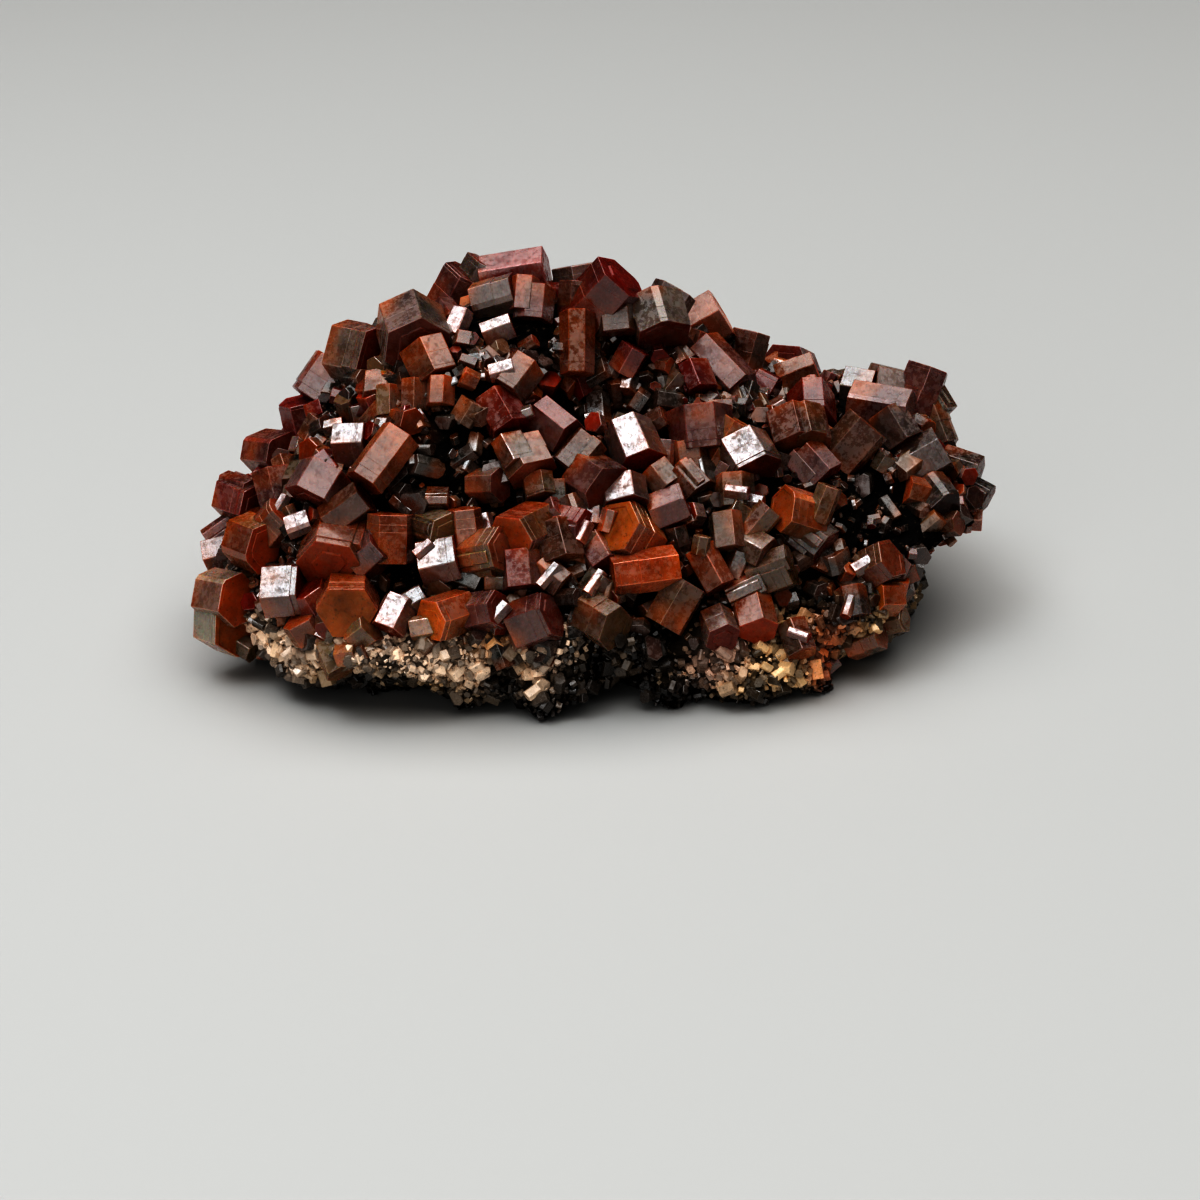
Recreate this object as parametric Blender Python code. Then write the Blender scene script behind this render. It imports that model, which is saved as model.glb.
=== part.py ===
"""Vanadinite cluster: a druse of hexagonal vanadinite crystals on a mound of dark iron and manganese matrix.

The frame is metres, +Z up, +X to the right of the display side and -Y towards its viewer. The origin is
the middle of the box that holds the whole specimen, on the surface that it rests on.

The matrix is a stack of contour lines, like those of a hill on a map. Each crystal of the display side is
placed where a sight line through a picture of the specimen meets the matrix, and the crystals of the far
side and of the bare spots are spread over the matrix by a seeded rule.
"""

import math
from typing import NamedTuple

import bmesh
import bpy
import numpy as np
from mathutils import Matrix, Vector
from mathutils.bvhtree import BVHTree

MM = 0.001

# Sight lines: the picture is square, and its pixels count from the top left corner. The eye looks at the
# foot point, which shows at FOOT_PX.
EYE_DISTANCE = 157.8 * MM
EYE_ELEVATION = math.radians(26.35)
FOCAL_PX = 2150.0
FOOT_PX = Vector((602.0, 614.5))
FOOT_POINT = Vector((-0.16, -0.53, 0.0)) * MM

# Matrix: the points of each level line, the power that squares its outline, the lumps along it, the
# rise of the very top and the hollow under the crest
AROUND = 24
OUTLINE_POWER = 2.5
LUMP_SIZE = 1.0 * MM
LUMP_WAVES = ((3, 0.35, 0.9, 0.55), (5, -0.5, 2.1, 0.5), (9, 0.8, 4.0, 0.45))
CALM_FOOT = 3.0
TOP_RISE = 0.6 * MM
HOLLOW_ANGLE = math.radians(-76)
HOLLOW_SPREAD = math.radians(24)
HOLLOW_HEIGHT = 16.5
HOLLOW_RISE = 3.6
HOLLOW_DEPTH = 3.6 * MM

# Crystals: how unlike the six faces are, how far a middle stands off the matrix as a share of the size, the
# lean from which a crystal counts as seen end-on, the room that the crystals keep round the matrix, and the
# direction that faces look in when they throw the light at the viewer
SEED = 1838
FACE_JITTER = 0.13
EMBED = 0.22
FACE_ON = 65.0
SEAM = 0.3 * MM
GLEAM = Vector((-0.204, -0.599, 0.774)).normalized()

# Crystals of the far side: their sizes, how near they stand to each other, and where none grow
SPREAD_TRIES = 9000
SPREAD_WIDTHS = (2.6 * MM, 4.2 * MM)
SPREAD_STOUTNESS = (0.65, 1.0)
SPREAD_EMBED = 0.05
SPREAD_NEARNESS = 0.86
UPRIGHTNESS = 0.7
BARE_BELOW = 3.0 * MM
BARE_FACING_VIEWER = -0.10
BARE_FACING_DOWN = 0.0

# Nodes: the two great druses, and the corners that a crystal alone has at most
DRUSE_NAMES = ("crest_druse", "front_druse")
LONE_CORNERS = 26

# Finishes
MATRIX_COLOUR = (0.045, 0.030, 0.022)
MATRIX_ROUGHNESS = 0.9
CRYSTAL_COLOUR = (0.36, 0.055, 0.018)
CRYSTAL_ROUGHNESS = 0.3


class Contour(NamedTuple):
    """One level line of the matrix: its height and its reaches in millimetres, along and across its own turn.

    turn is how far the line's long axis is turned from +X towards +Y, in degrees.
    """

    height: float
    left: float
    right: float
    front: float
    back: float
    turn: float


CONTOURS = (
    Contour(0.0, -24.0, 21.0, -14.4, 12.0, 3),
    Contour(2.2, -25.8, 22.2, -15.7, 13.6, 4),
    Contour(5.0, -26.4, 22.0, -15.6, 14.2, 7),
    Contour(6.6, -26.0, 22.8, -14.2, 14.4, 9),
    Contour(8.4, -25.0, 26.6, -12.4, 14.3, 10),
    Contour(11.0, -23.2, 26.0, -10.4, 13.4, 12),
    Contour(13.8, -20.6, 22.8, -7.9, 11.6, 12),
    Contour(15.4, -19.4, 13.0, -6.4, 12.0, 12),
    Contour(18.0, -17.2, 8.6, -3.9, 10.6, 12),
    Contour(20.6, -14.2, 5.2, -1.4, 8.8, 12),
    Contour(22.6, -9.8, 0.8, 1.2, 6.8, 12),
)


class Crystal(NamedTuple):
    """One crystal as the picture shows it.

    px, py: the pixel of its middle. width, length: millimetres across two opposite faces and from end to
    end. turn: degrees in the picture from right, counter-clockwise, to where its axis points. face: degrees
    that the axis leans out of the picture, towards the viewer. roll: degrees about the axis, 0 with a prism
    face and 30 with a prism edge nearest the viewer. Where face is None, a prism face throws the light at the
    viewer: the axis lies across GLEAM, and roll counts from the pose in which the face looks along it.
    """

    px: float
    py: float
    width: float
    length: float
    turn: float
    face: float | None
    roll: float


CREST = (
    Crystal(325, 384, 3.3, 3.0, 235, 5, 12),
    Crystal(360, 354, 3.9, 3.0, -15, 37, 0),
    Crystal(414, 335, 4.3, 3.5, -70, 48, 5),
    Crystal(429, 361, 3.3, 2.3, -65, 15, 30),
    Crystal(389, 401, 1.8, 2.0, -88, 10, 20),
    Crystal(415, 396, 2.0, 2.1, -90, 10, 22),
    Crystal(440, 392, 1.8, 1.9, -92, 10, 12),
    Crystal(456, 292, 3.2, 3.2, 60, 20, 20),
    Crystal(478, 280, 3.0, 3.0, 60, 15, 10),
    Crystal(518, 280, 3.8, 4.4, 8, 8, 16),
    Crystal(497, 298, 2.8, 2.8, 15, 12, -12),
    Crystal(534, 302, 2.5, 2.1, -95, 10, 0),
    Crystal(499, 330, 1.8, 2.0, 20, None, 0),
    Crystal(457, 324, 1.6, 2.1, 70, None, 0),
    Crystal(576, 342, 2.2, 4.2, -90, 6, 0),
    Crystal(577, 297, 2.4, 2.1, 85, 5, 8),
    Crystal(606, 299, 3.9, 3.8, 45, 25, 10),
    Crystal(579, 279, 3.2, 2.4, 100, 10, 20),
    Crystal(657, 320, 4.1, 2.8, -75, 25, 20),
    Crystal(616, 317, 2.6, 2.1, -85, 10, 5),
    Crystal(703, 322, 3.5, 3.5, 30, 10, 25),
    Crystal(668, 297, 3.0, 2.6, 60, 0, 0),
    Crystal(721, 366, 2.8, 4.2, -48, 15, 0),
    Crystal(696, 379, 2.3, 2.1, -70, 20, 20),
    Crystal(752, 344, 2.9, 2.6, 75, 5, 30),
    Crystal(629, 359, 1.9, 1.9, 60, 15, 20),
    Crystal(518, 379, 2.5, 2.6, -125, 20, 9),
)

LEFT_FLANK = (
    Crystal(300, 416, 2.6, 2.6, 100, 25, 10),
    Crystal(272, 455, 3.3, 2.8, -10, 45, 0),
    Crystal(318, 431, 1.9, 1.8, 60, 10, 20),
    Crystal(352, 443, 3.0, 2.1, 2, None, 0),
    Crystal(383, 461, 2.6, 4.0, -125, 15, 8),
    Crystal(240, 497, 3.1, 2.6, -20, 40, 10),
    Crystal(274, 487, 2.6, 2.3, -75, 10, 28),
    Crystal(321, 488, 3.9, 2.3, -118, 18, 4),
    Crystal(347, 508, 2.3, 3.0, 35, 10, 15),
    Crystal(276, 522, 2.4, 2.3, 45, 30, 0),
    Crystal(299, 525, 1.7, 1.6, 20, None, 3),
    Crystal(220, 531, 1.4, 2.3, 35, 0, 12),
    Crystal(224, 553, 2.6, 2.5, 15, None, 4),
    Crystal(254, 543, 3.3, 2.8, -20, 42, 5),
    Crystal(286, 590, 3.6, 2.4, 4, None, 2),
    Crystal(222, 597, 3.4, 2.8, -10, 45, 0),
    Crystal(221, 629, 3.4, 2.6, -15, 48, 15),
    Crystal(350, 604, 3.6, 3.0, -80, 70, 0),
    Crystal(333, 549, 4.0, 3.0, -100, 50, 0),
    Crystal(390, 536, 2.8, 3.0, 88, 8, 12),
    Crystal(371, 553, 2.4, 2.1, 40, 20, 5),
)

FRONT = (
    Crystal(441, 562, 3.1, 2.5, 12, None, 6),
    Crystal(395, 615, 2.1, 2.3, 65, None, 5),
    Crystal(412, 604, 1.8, 2.1, 30, None, 6),
    Crystal(446, 616, 2.8, 2.6, -160, 42, 10),
    Crystal(426, 626, 1.5, 1.8, 10, 10, 0),
    Crystal(464, 527, 2.3, 2.5, 95, 10, 2),
    Crystal(438, 528, 2.4, 2.5, -20, 50, 10),
    Crystal(523, 532, 3.4, 3.0, -150, 48, 0),
    Crystal(552, 518, 2.0, 1.9, 40, 20, 10),
    Crystal(574, 526, 2.5, 2.1, -10, 30, 20),
    Crystal(494, 553, 3.2, 2.5, 8, 40, 10),
    Crystal(558, 545, 3.0, 2.6, -75, 18, 20),
    Crystal(522, 571, 2.6, 2.5, -85, 12, 10),
    Crystal(552, 576, 2.2, 2.1, -40, 10, 30),
    Crystal(495, 581, 1.3, 1.4, 0, 0, 15),
    Crystal(595, 518, 1.6, 1.6, 90, None, 0),
    Crystal(575, 508, 1.8, 1.6, -70, 20, 28),
    Crystal(627, 533, 3.4, 2.8, 150, 50, 0),
    Crystal(643, 572, 3.0, 4.4, 188, 12, 0),
    Crystal(600, 555, 2.2, 2.1, -60, 30, 10),
    Crystal(581, 543, 1.8, 2.1, 70, 5, 18),
    Crystal(594, 585, 1.8, 1.9, 55, 5, 30),
    Crystal(484, 611, 2.7, 2.5, 10, 35, 5),
    Crystal(498, 620, 1.6, 1.6, -50, None, 5),
    Crystal(538, 621, 3.1, 2.4, 20, 25, 12),
    Crystal(604, 621, 3.0, 2.3, -30, 35, 20),
    Crystal(587, 603, 1.7, 1.8, 80, 0, 5),
    Crystal(675, 603, 2.6, 3.2, 60, 0, 20),
    Crystal(527, 461, 3.1, 2.3, -62, 26, 30),
    Crystal(490, 486, 2.1, 1.9, 0, 35, 0),
    Crystal(438, 500, 1.5, 1.5, 0, 5, 4),
    Crystal(503, 414, 2.6, 2.5, -60, 20, 12),
    Crystal(554, 428, 3.0, 2.8, -40, 20, 30),
    Crystal(577, 453, 2.1, 2.6, -130, 10, 10),
    Crystal(540, 487, 2.0, 1.6, -80, 20, 21),
    Crystal(598, 484, 3.6, 2.5, -35, 45, 0),
    Crystal(623, 495, 2.9, 1.9, -82, None, 5),
    Crystal(632, 447, 3.2, 3.2, 111, None, 0),
    Crystal(670, 507, 2.7, 2.3, 21, 5, 16),
    Crystal(661, 478, 2.2, 1.8, -50, 10, 30),
    Crystal(687, 483, 2.5, 2.1, -50, 12, 28),
    Crystal(700, 427, 3.9, 2.6, -84, 5, 2),
    Crystal(689, 456, 2.2, 1.9, -84, 5, 4),
    Crystal(665, 453, 1.7, 1.8, 85, 0, 0),
    Crystal(728, 440, 2.7, 3.0, 60, 10, 10),
    Crystal(655, 423, 1.8, 1.9, 30, 20, 15),
)

RIGHT_SIDE = (
    Crystal(800, 375, 2.5, 2.6, 20, 10, 20),
    Crystal(765, 386, 1.8, 1.8, -30, 20, 0),
    Crystal(811, 407, 3.3, 2.6, -90, 38, 0),
    Crystal(776, 412, 1.6, 1.8, 30, 5, 0),
    Crystal(860, 388, 3.0, 2.2, 168, None, 0),
    Crystal(889, 389, 3.5, 3.2, 168, 10, 20),
    Crystal(882, 409, 3.4, 4.2, -12, 20, 20),
    Crystal(798, 433, 4.1, 2.6, -80, 30, 26),
    Crystal(815, 465, 2.6, 2.5, -50, 15, 20),
    Crystal(853, 441, 2.9, 3.2, 50, 10, 10),
    Crystal(895, 428, 2.9, 2.6, -60, 12, 30),
    Crystal(935, 426, 2.6, 3.0, -70, 10, 25),
    Crystal(932, 374, 3.2, 2.8, 70, 5, 20),
    Crystal(934, 396, 3.0, 2.6, -60, 10, 5),
    Crystal(928, 458, 3.0, 2.6, 30, 10, 8),
    Crystal(962, 470, 2.5, 2.5, -20, 20, 10),
    Crystal(978, 491, 1.9, 2.1, -30, 20, 10),
    Crystal(938, 497, 2.5, 2.3, -60, 40, 20),
    Crystal(746, 459, 3.6, 2.6, -62, None, 0),
    Crystal(733, 491, 2.6, 2.1, -88, 10, 10),
    Crystal(798, 514, 3.1, 2.8, 165, 30, 12),
    Crystal(812, 538, 2.6, 2.5, -40, 20, 10),
    Crystal(726, 532, 2.2, 2.5, -85, 14, 18),
    Crystal(738, 515, 1.9, 1.9, 150, 20, 10),
    Crystal(758, 520, 2.0, 2.3, 50, 5, 30),
    Crystal(755, 549, 2.5, 2.1, -30, 25, 20),
    Crystal(711, 570, 2.1, 2.8, -62, 12, 24),
    Crystal(738, 563, 1.7, 1.8, 70, 10, 0),
    Crystal(772, 571, 2.9, 2.8, 20, 20, 20),
    Crystal(746, 588, 1.8, 2.5, 25, 5, 5),
    Crystal(755, 617, 2.6, 2.5, -80, 40, 16),
    Crystal(719, 629, 2.3, 2.1, -70, 50, 5),
    Crystal(797, 641, 2.3, 2.1, -70, 20, 28),
    Crystal(877, 566, 2.7, 2.6, 30, 35, 20),
    Crystal(852, 602, 1.9, 2.1, -80, 10, 10),
    Crystal(868, 640, 2.1, 2.1, 20, 30, 10),
    Crystal(892, 620, 1.9, 1.9, 10, 30, 25),
)


class Prism(NamedTuple):
    """A crystal in space: its middle, its axes as columns, the distances of its six faces and its ends."""

    middle: Vector
    axes: Matrix
    faces: tuple
    below: float
    above: float


def contour_at(height):
    """The reaches and the turn of the level line at a height in millimetres, between the listed ones."""
    heights = [contour.height for contour in CONTOURS]
    return [np.interp(height, heights, [contour[k] for contour in CONTOURS]) for k in range(1, 6)]


def ring(height):
    """One closed level line as points: a squared ellipse with lumps, turned about the foot point."""
    left, right, front, back, turn = contour_at(height)
    angle = np.arange(AROUND) * math.tau / AROUND
    cosine, sine = np.cos(angle), np.sin(angle)
    power = 2.0 / OUTLINE_POWER
    u = (left + right) / 2 * MM + (right - left) / 2 * MM * np.sign(cosine) * np.abs(cosine) ** power
    v = (front + back) / 2 * MM + (back - front) / 2 * MM * np.sign(sine) * np.abs(sine) ** power
    push = lumps(angle, height) - hollow(angle, height)
    u = u + push * cosine
    v = v + push * sine
    turn = math.radians(turn)
    x = FOOT_POINT.x + u * math.cos(turn) - v * math.sin(turn)
    y = FOOT_POINT.y + u * math.sin(turn) + v * math.cos(turn)
    return np.stack([x, y, np.full(AROUND, height * MM)], axis=1)


def lumps(angle, height):
    """How far the matrix bulges or dips at each angle of a level line: a few waves, calmer at the foot."""
    waves = [size * np.sin(count * angle + climb * height + at) for count, climb, at, size in LUMP_WAVES]
    return LUMP_SIZE * sum(waves) * min(1.0, 0.4 + 0.6 * height / CALM_FOOT)


def hollow(angle, height):
    """How deep the hollow under the crest is at each angle of a level line: a smooth round dent."""
    across = np.angle(np.exp(1j * (angle - HOLLOW_ANGLE))) / HOLLOW_SPREAD
    upward = (height - HOLLOW_HEIGHT) / HOLLOW_RISE
    return HOLLOW_DEPTH * np.exp(-(across**2) - upward**2)


def matrix_surface():
    """Vertices and faces of the matrix: rings of points, a flat foot and a closed top."""
    rings = [ring(contour.height) for contour in CONTOURS]
    foot = rings[0].mean(axis=0)
    top = rings[-1].mean(axis=0) + np.array([0.0, 0.0, TOP_RISE])
    points = np.concatenate([*rings, foot[None], top[None]])
    faces = []
    for level in range(len(rings) - 1):
        for k in range(AROUND):
            a, b = level * AROUND + k, level * AROUND + (k + 1) % AROUND
            faces.append((a, b, b + AROUND))
            faces.append((a, b + AROUND, a + AROUND))
    last = (len(rings) - 1) * AROUND
    for k in range(AROUND):
        faces.append(((k + 1) % AROUND, k, len(points) - 2))
        faces.append((last + k, last + (k + 1) % AROUND, len(points) - 1))
    return points, faces


def sight_axes():
    """The picture's right, up and towards-the-viewer directions."""
    c, s = math.cos(EYE_ELEVATION), math.sin(EYE_ELEVATION)
    return Vector((1, 0, 0)), Vector((0, s, c)), Vector((0, -c, s))


class Skin:
    """The matrix surface, to measure distances from."""

    def __init__(self):
        points, faces = matrix_surface()
        self.tree = BVHTree.FromPolygons([Vector(p) for p in points], faces, epsilon=0.0)

    def distance(self, point):
        """Signed distance from the surface, and the outward direction there."""
        near, normal, _, gap = self.tree.find_nearest(point)
        away = point - near
        sign = 1.0 if away.dot(normal) >= 0 else -1.0
        outward = away.normalized() * sign if gap > 0.05 * MM else normal
        return sign * gap, outward

    def seat(self, px, py, proud):
        """Where a pixel's sight line comes down to the height proud over the surface, or passes nearest."""
        right, up, near = sight_axes()
        eye = FOOT_POINT + near * EYE_DISTANCE
        ray = (right * (px - FOOT_PX.x) - up * (py - FOOT_PX.y)) / FOCAL_PX - near
        ray.normalize()
        at, best = EYE_DISTANCE - 45 * MM, None
        while at < EYE_DISTANCE + 45 * MM:
            point = eye + ray * at
            gap = self.distance(point)[0] - proud
            if best is None or gap < best[0]:
                best = (gap, point)
            if gap < 0.02 * MM:
                break
            at += max(0.6 * gap, 0.05 * MM)
        return best[1], best[0]


def prism(middle, axis, towards, width, length, roll, outward, random):
    """The prism of a crystal, its hidden end lengthened into the matrix where it stands on it."""
    side = towards - axis * towards.dot(axis)
    if side.length < 0.1:
        side = axis.orthogonal()
    side.normalize()
    side = Matrix.Rotation(roll, 3, axis) @ side
    other = axis.cross(side)
    axes = Matrix((side, other, axis)).transposed()
    faces = tuple(width / 2 * (1 + random.uniform(-FACE_JITTER, FACE_JITTER)) for _ in range(6))
    standing = axis.dot(outward)
    below = length / 2 + max(0.0, standing) * EMBED * width
    above = length / 2 + max(0.0, -standing) * EMBED * width
    return Prism(middle, axes, faces, below, above)


def seen_prisms(skin, random):
    """The crystals of the display side, from the picture."""
    right, up, near = sight_axes()
    made = []
    for crystal in (*CREST, *LEFT_FLANK, *FRONT, *RIGHT_SIDE):
        width, length = crystal.width * MM, crystal.length * MM
        middle, miss = skin.seat(crystal.px, crystal.py, EMBED * max(width, length))
        turn, roll = math.radians(crystal.turn), math.radians(crystal.roll)
        flat = right * math.cos(turn) + up * math.sin(turn)
        outward = skin.distance(middle)[1]
        middle = middle - outward * max(0.0, miss) / 2
        if crystal.face is None:
            axis = (flat - near * flat.dot(GLEAM) / near.dot(GLEAM)).normalized()
            towards = GLEAM
        else:
            face = math.radians(crystal.face)
            axis = flat * math.cos(face) + near * math.sin(face)
            towards = near if crystal.face < FACE_ON else up
        made.append(prism(middle, axis, towards, width, length, roll, outward, random))
    return made


def outline(faces):
    """The six corners of a prism's cross-section, from the distances of its faces."""
    corners = []
    for k in range(6):
        a, b = k * math.tau / 6, (k + 1) * math.tau / 6
        da, db = faces[k], faces[(k + 1) % 6]
        turn = math.sin(b - a)
        x = (da * math.sin(b) - db * math.sin(a)) / turn
        y = (db * math.cos(a) - da * math.cos(b)) / turn
        corners.append((x, y))
    return corners


def random_spot(corners, share, random):
    """A point of a surface, as likely in one place as in another."""
    first, second, third = corners[random.choice(len(corners), p=share)]
    a, b = random.random(2)
    if a + b > 1:
        a, b = 1 - a, 1 - b
    return first + a * (second - first) + b * (third - first)


def spread_prisms(skin, taken, random):
    """Crystals of the far side: spots of the matrix that keep clear of the crystals there already."""
    points, faces = matrix_surface()
    corners = points[np.array(faces)]
    areas = np.linalg.norm(np.cross(corners[:, 1] - corners[:, 0], corners[:, 2] - corners[:, 0]), axis=1)
    centres = [np.array(shape.middle) for shape in taken]
    sizes = [max(shape.faces) for shape in taken]
    near = sight_axes()[2]
    made = []
    for _ in range(SPREAD_TRIES):
        spot = random_spot(corners, areas / areas.sum(), random)
        width = random.uniform(*SPREAD_WIDTHS)
        length = width * random.uniform(*SPREAD_STOUTNESS)
        outward = skin.distance(Vector(spot))[1]
        gaps = np.linalg.norm(np.array(centres) - spot, axis=1)
        crowded = (gaps < SPREAD_NEARNESS * (np.array(sizes) + width / 2)).any()
        bare = spot[2] < BARE_BELOW or outward.z < BARE_FACING_DOWN or outward.dot(near) > BARE_FACING_VIEWER
        if crowded or bare:
            continue
        middle = Vector(spot) + outward * SPREAD_EMBED * width
        lean = Vector(random.normal(size=3)).normalized()
        axis = (outward * UPRIGHTNESS + lean).normalized()
        centres.append(np.array(middle))
        sizes.append(width / 2)
        made.append(prism(middle, axis, lean.orthogonal(), width, length, 0.0, outward, random))
    return made


def new_object(name, points, faces, colour, roughness):
    """A mesh object with its own material."""
    mesh = bpy.data.meshes.new(name)
    mesh.from_pydata([tuple(p) for p in points], [], faces)
    mesh.validate()
    made = bpy.data.objects.new(name, mesh)
    bpy.context.scene.collection.objects.link(made)
    material = bpy.data.materials.new(name)
    material.use_nodes = True
    shader = material.node_tree.nodes["Principled BSDF"]
    shader.inputs["Base Color"].default_value = (*colour, 1.0)
    shader.inputs["Roughness"].default_value = roughness
    mesh.materials.append(material)
    return made


def prism_mesh(shape):
    """Twelve points and eight faces of a prism."""
    corners = outline(shape.faces)
    points = [
        shape.middle + shape.axes @ Vector((x, y, z))
        for z in (-shape.below, shape.above)
        for x, y in corners
    ]
    sides = [(k, (k + 1) % 6, (k + 1) % 6 + 6, k + 6) for k in range(6)]
    return points, [tuple(range(5, -1, -1)), tuple(range(6, 12)), *sides]


def swell(mesh, thickness):
    """Moves a closed surface outwards by a thickness, measured across its faces."""
    made = bmesh.new()
    made.from_mesh(mesh)
    made.normal_update()
    moves = [vert.normal * vert.calc_shell_factor() * thickness for vert in made.verts]
    for vert, move in zip(made.verts, moves):
        vert.co += move
    made.to_mesh(mesh)
    made.free()


def grown_together(shapes):
    """Unites the prisms and clears the room of the matrix out of them, as one mesh of one or more bodies."""
    points, faces = [], []
    for shape in shapes:
        more, their = prism_mesh(shape)
        faces += [tuple(len(points) + k for k in face) for face in their]
        points += more
    crystals = new_object("crystals", points, faces, CRYSTAL_COLOUR, CRYSTAL_ROUGHNESS)
    room = new_object("room", *matrix_surface(), MATRIX_COLOUR, MATRIX_ROUGHNESS)
    swell(room.data, SEAM)
    cut = crystals.modifiers.new("room", "BOOLEAN")
    cut.operation = "DIFFERENCE"
    cut.use_self = True
    cut.object = room
    evaluated = crystals.evaluated_get(bpy.context.evaluated_depsgraph_get())
    united = bpy.data.meshes.new_from_object(evaluated)
    bpy.data.objects.remove(crystals)
    bpy.data.objects.remove(room)
    return united


def bodies_of(mesh):
    """The separate bodies of a mesh, as lists of vertex numbers, the largest first."""
    made = bmesh.new()
    made.from_mesh(mesh)
    left = set(made.verts)
    bodies = []
    while left:
        reached = {left.pop()}
        front = set(reached)
        while front:
            front = {edge.other_vert(vert) for vert in front for edge in vert.link_edges} - reached
            reached |= front
        left -= reached
        bodies.append(sorted(vert.index for vert in reached))
    made.free()
    return sorted(bodies, key=lambda body: (-len(body), body[0]))


def body_object(name, mesh, body):
    """One body of a mesh as an object of its own."""
    place = {vertex: k for k, vertex in enumerate(body)}
    points = [mesh.vertices[vertex].co for vertex in body]
    faces = [
        [place[vertex] for vertex in face.vertices] for face in mesh.polygons if face.vertices[0] in place
    ]
    return new_object(name, points, faces, CRYSTAL_COLOUR, CRYSTAL_ROUGHNESS)


def main():
    """Builds the matrix and the crystals."""
    for old in list(bpy.data.objects):
        bpy.data.objects.remove(old)
    random = np.random.default_rng(SEED)
    skin = Skin()
    new_object("matrix", *matrix_surface(), MATRIX_COLOUR, MATRIX_ROUGHNESS)
    seen = seen_prisms(skin, random)
    mesh = grown_together([*seen, *spread_prisms(skin, seen, random)])
    bodies = bodies_of(mesh)
    others = bodies[len(DRUSE_NAMES):]
    clumps = [body for body in others if len(body) > LONE_CORNERS]
    loners = [body for body in others if len(body) <= LONE_CORNERS]
    for name, body in zip(DRUSE_NAMES, bodies):
        body_object(name, mesh, body)
    for number, body in enumerate(clumps, start=1):
        body_object(f"crystal_clump_{number}", mesh, body)
    for number, body in enumerate(loners, start=1):
        body_object(f"lone_crystal_{number}", mesh, body)


main()
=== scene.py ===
"""Looks of the vanadinite cluster: glossy hexagonal crystals, brown-mauve on their sides and orange-red on
their ends, over a mound of black-brown matrix with tan, sugary grains along its foot.

The crystals stand exactly where the solid model has them. Each gets bevelled edges, growth steps and a
terraced end, and smaller crystals fill the gaps between them.
"""

import logging
import math
from dataclasses import dataclass, field
from enum import Enum
from typing import NamedTuple, Sequence

import bpy
import numpy as np
from mathutils import Matrix, Vector
from mathutils.bvhtree import BVHTree


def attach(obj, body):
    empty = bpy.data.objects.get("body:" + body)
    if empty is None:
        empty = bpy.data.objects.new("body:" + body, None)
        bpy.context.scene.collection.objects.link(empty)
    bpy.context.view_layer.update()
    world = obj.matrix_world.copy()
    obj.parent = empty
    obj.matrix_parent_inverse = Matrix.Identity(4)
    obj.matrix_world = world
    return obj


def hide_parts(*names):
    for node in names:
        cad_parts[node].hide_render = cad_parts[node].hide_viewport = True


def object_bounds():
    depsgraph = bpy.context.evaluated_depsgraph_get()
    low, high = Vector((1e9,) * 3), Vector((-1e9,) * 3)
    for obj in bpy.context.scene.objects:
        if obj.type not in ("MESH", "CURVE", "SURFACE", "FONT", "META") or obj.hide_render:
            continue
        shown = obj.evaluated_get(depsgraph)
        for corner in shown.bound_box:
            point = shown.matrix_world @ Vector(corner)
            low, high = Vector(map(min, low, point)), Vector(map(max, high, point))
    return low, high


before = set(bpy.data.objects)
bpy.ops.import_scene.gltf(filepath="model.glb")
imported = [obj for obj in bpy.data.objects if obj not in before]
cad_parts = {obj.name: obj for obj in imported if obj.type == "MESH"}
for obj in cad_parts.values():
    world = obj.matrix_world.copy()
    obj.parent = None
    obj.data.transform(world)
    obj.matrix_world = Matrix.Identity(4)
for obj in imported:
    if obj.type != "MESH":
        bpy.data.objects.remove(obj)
cad_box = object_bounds()

MM = 0.001
LOG = logging.getLogger("vanadinite")
SIDES = 6
LATTICE = 64
GLEAM = Vector((-0.204, -0.599, 0.774)).normalized()

# A node's settings, a colour with and without its alpha, three or two plain numbers, and a prism: its
# middle, its axes, the distances of its faces and how far it reaches below and above its middle
Setting = dict[str, object]
Colour = tuple[float, float, float, float]
Tint = tuple[float, float, float]
Triple = tuple[float, float, float]
Pair = tuple[float, float]
Shape = tuple[Vector, Matrix, list[float], float, float]


class Look(Enum):
    """How a crystal looks: the colour of its sides, the colour of its ends and how polished it is."""

    RED = ((0.190, 0.017, 0.009), (0.260, 0.014, 0.004), 0.90)
    ORANGE = ((0.260, 0.074, 0.013), (0.440, 0.105, 0.009), 0.55)
    BROWN = ((0.145, 0.056, 0.020), (0.260, 0.068, 0.012), 0.50)
    OLIVE = ((0.150, 0.092, 0.046), (0.180, 0.080, 0.020), 0.35)
    BEIGE = ((0.320, 0.200, 0.110), (0.300, 0.120, 0.035), 0.40)
    GREY = ((0.165, 0.112, 0.086), (0.180, 0.026, 0.008), 0.55)
    MAUVE = ((0.180, 0.060, 0.046), (0.210, 0.026, 0.007), 0.55)
    EMBER = ((0.440, 0.310, 0.225), (0.640, 0.150, 0.016), 0.55)
    AMBER = ((0.400, 0.130, 0.030), (0.520, 0.160, 0.018), 0.60)
    GLINT = ((0.200, 0.125, 0.105), (0.260, 0.036, 0.005), 1.00)
    # A dark brown that paints shade: crystals in the gaps and on the shaded right side take it
    DUSK = ((0.075, 0.045, 0.032), (0.110, 0.030, 0.012), 0.70)
    # Near black: the matrix's black shards; among the small crystals and on the right side, painted shade
    SOOTY = ((0.036, 0.035, 0.027), (0.050, 0.020, 0.012), 0.80)


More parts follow.
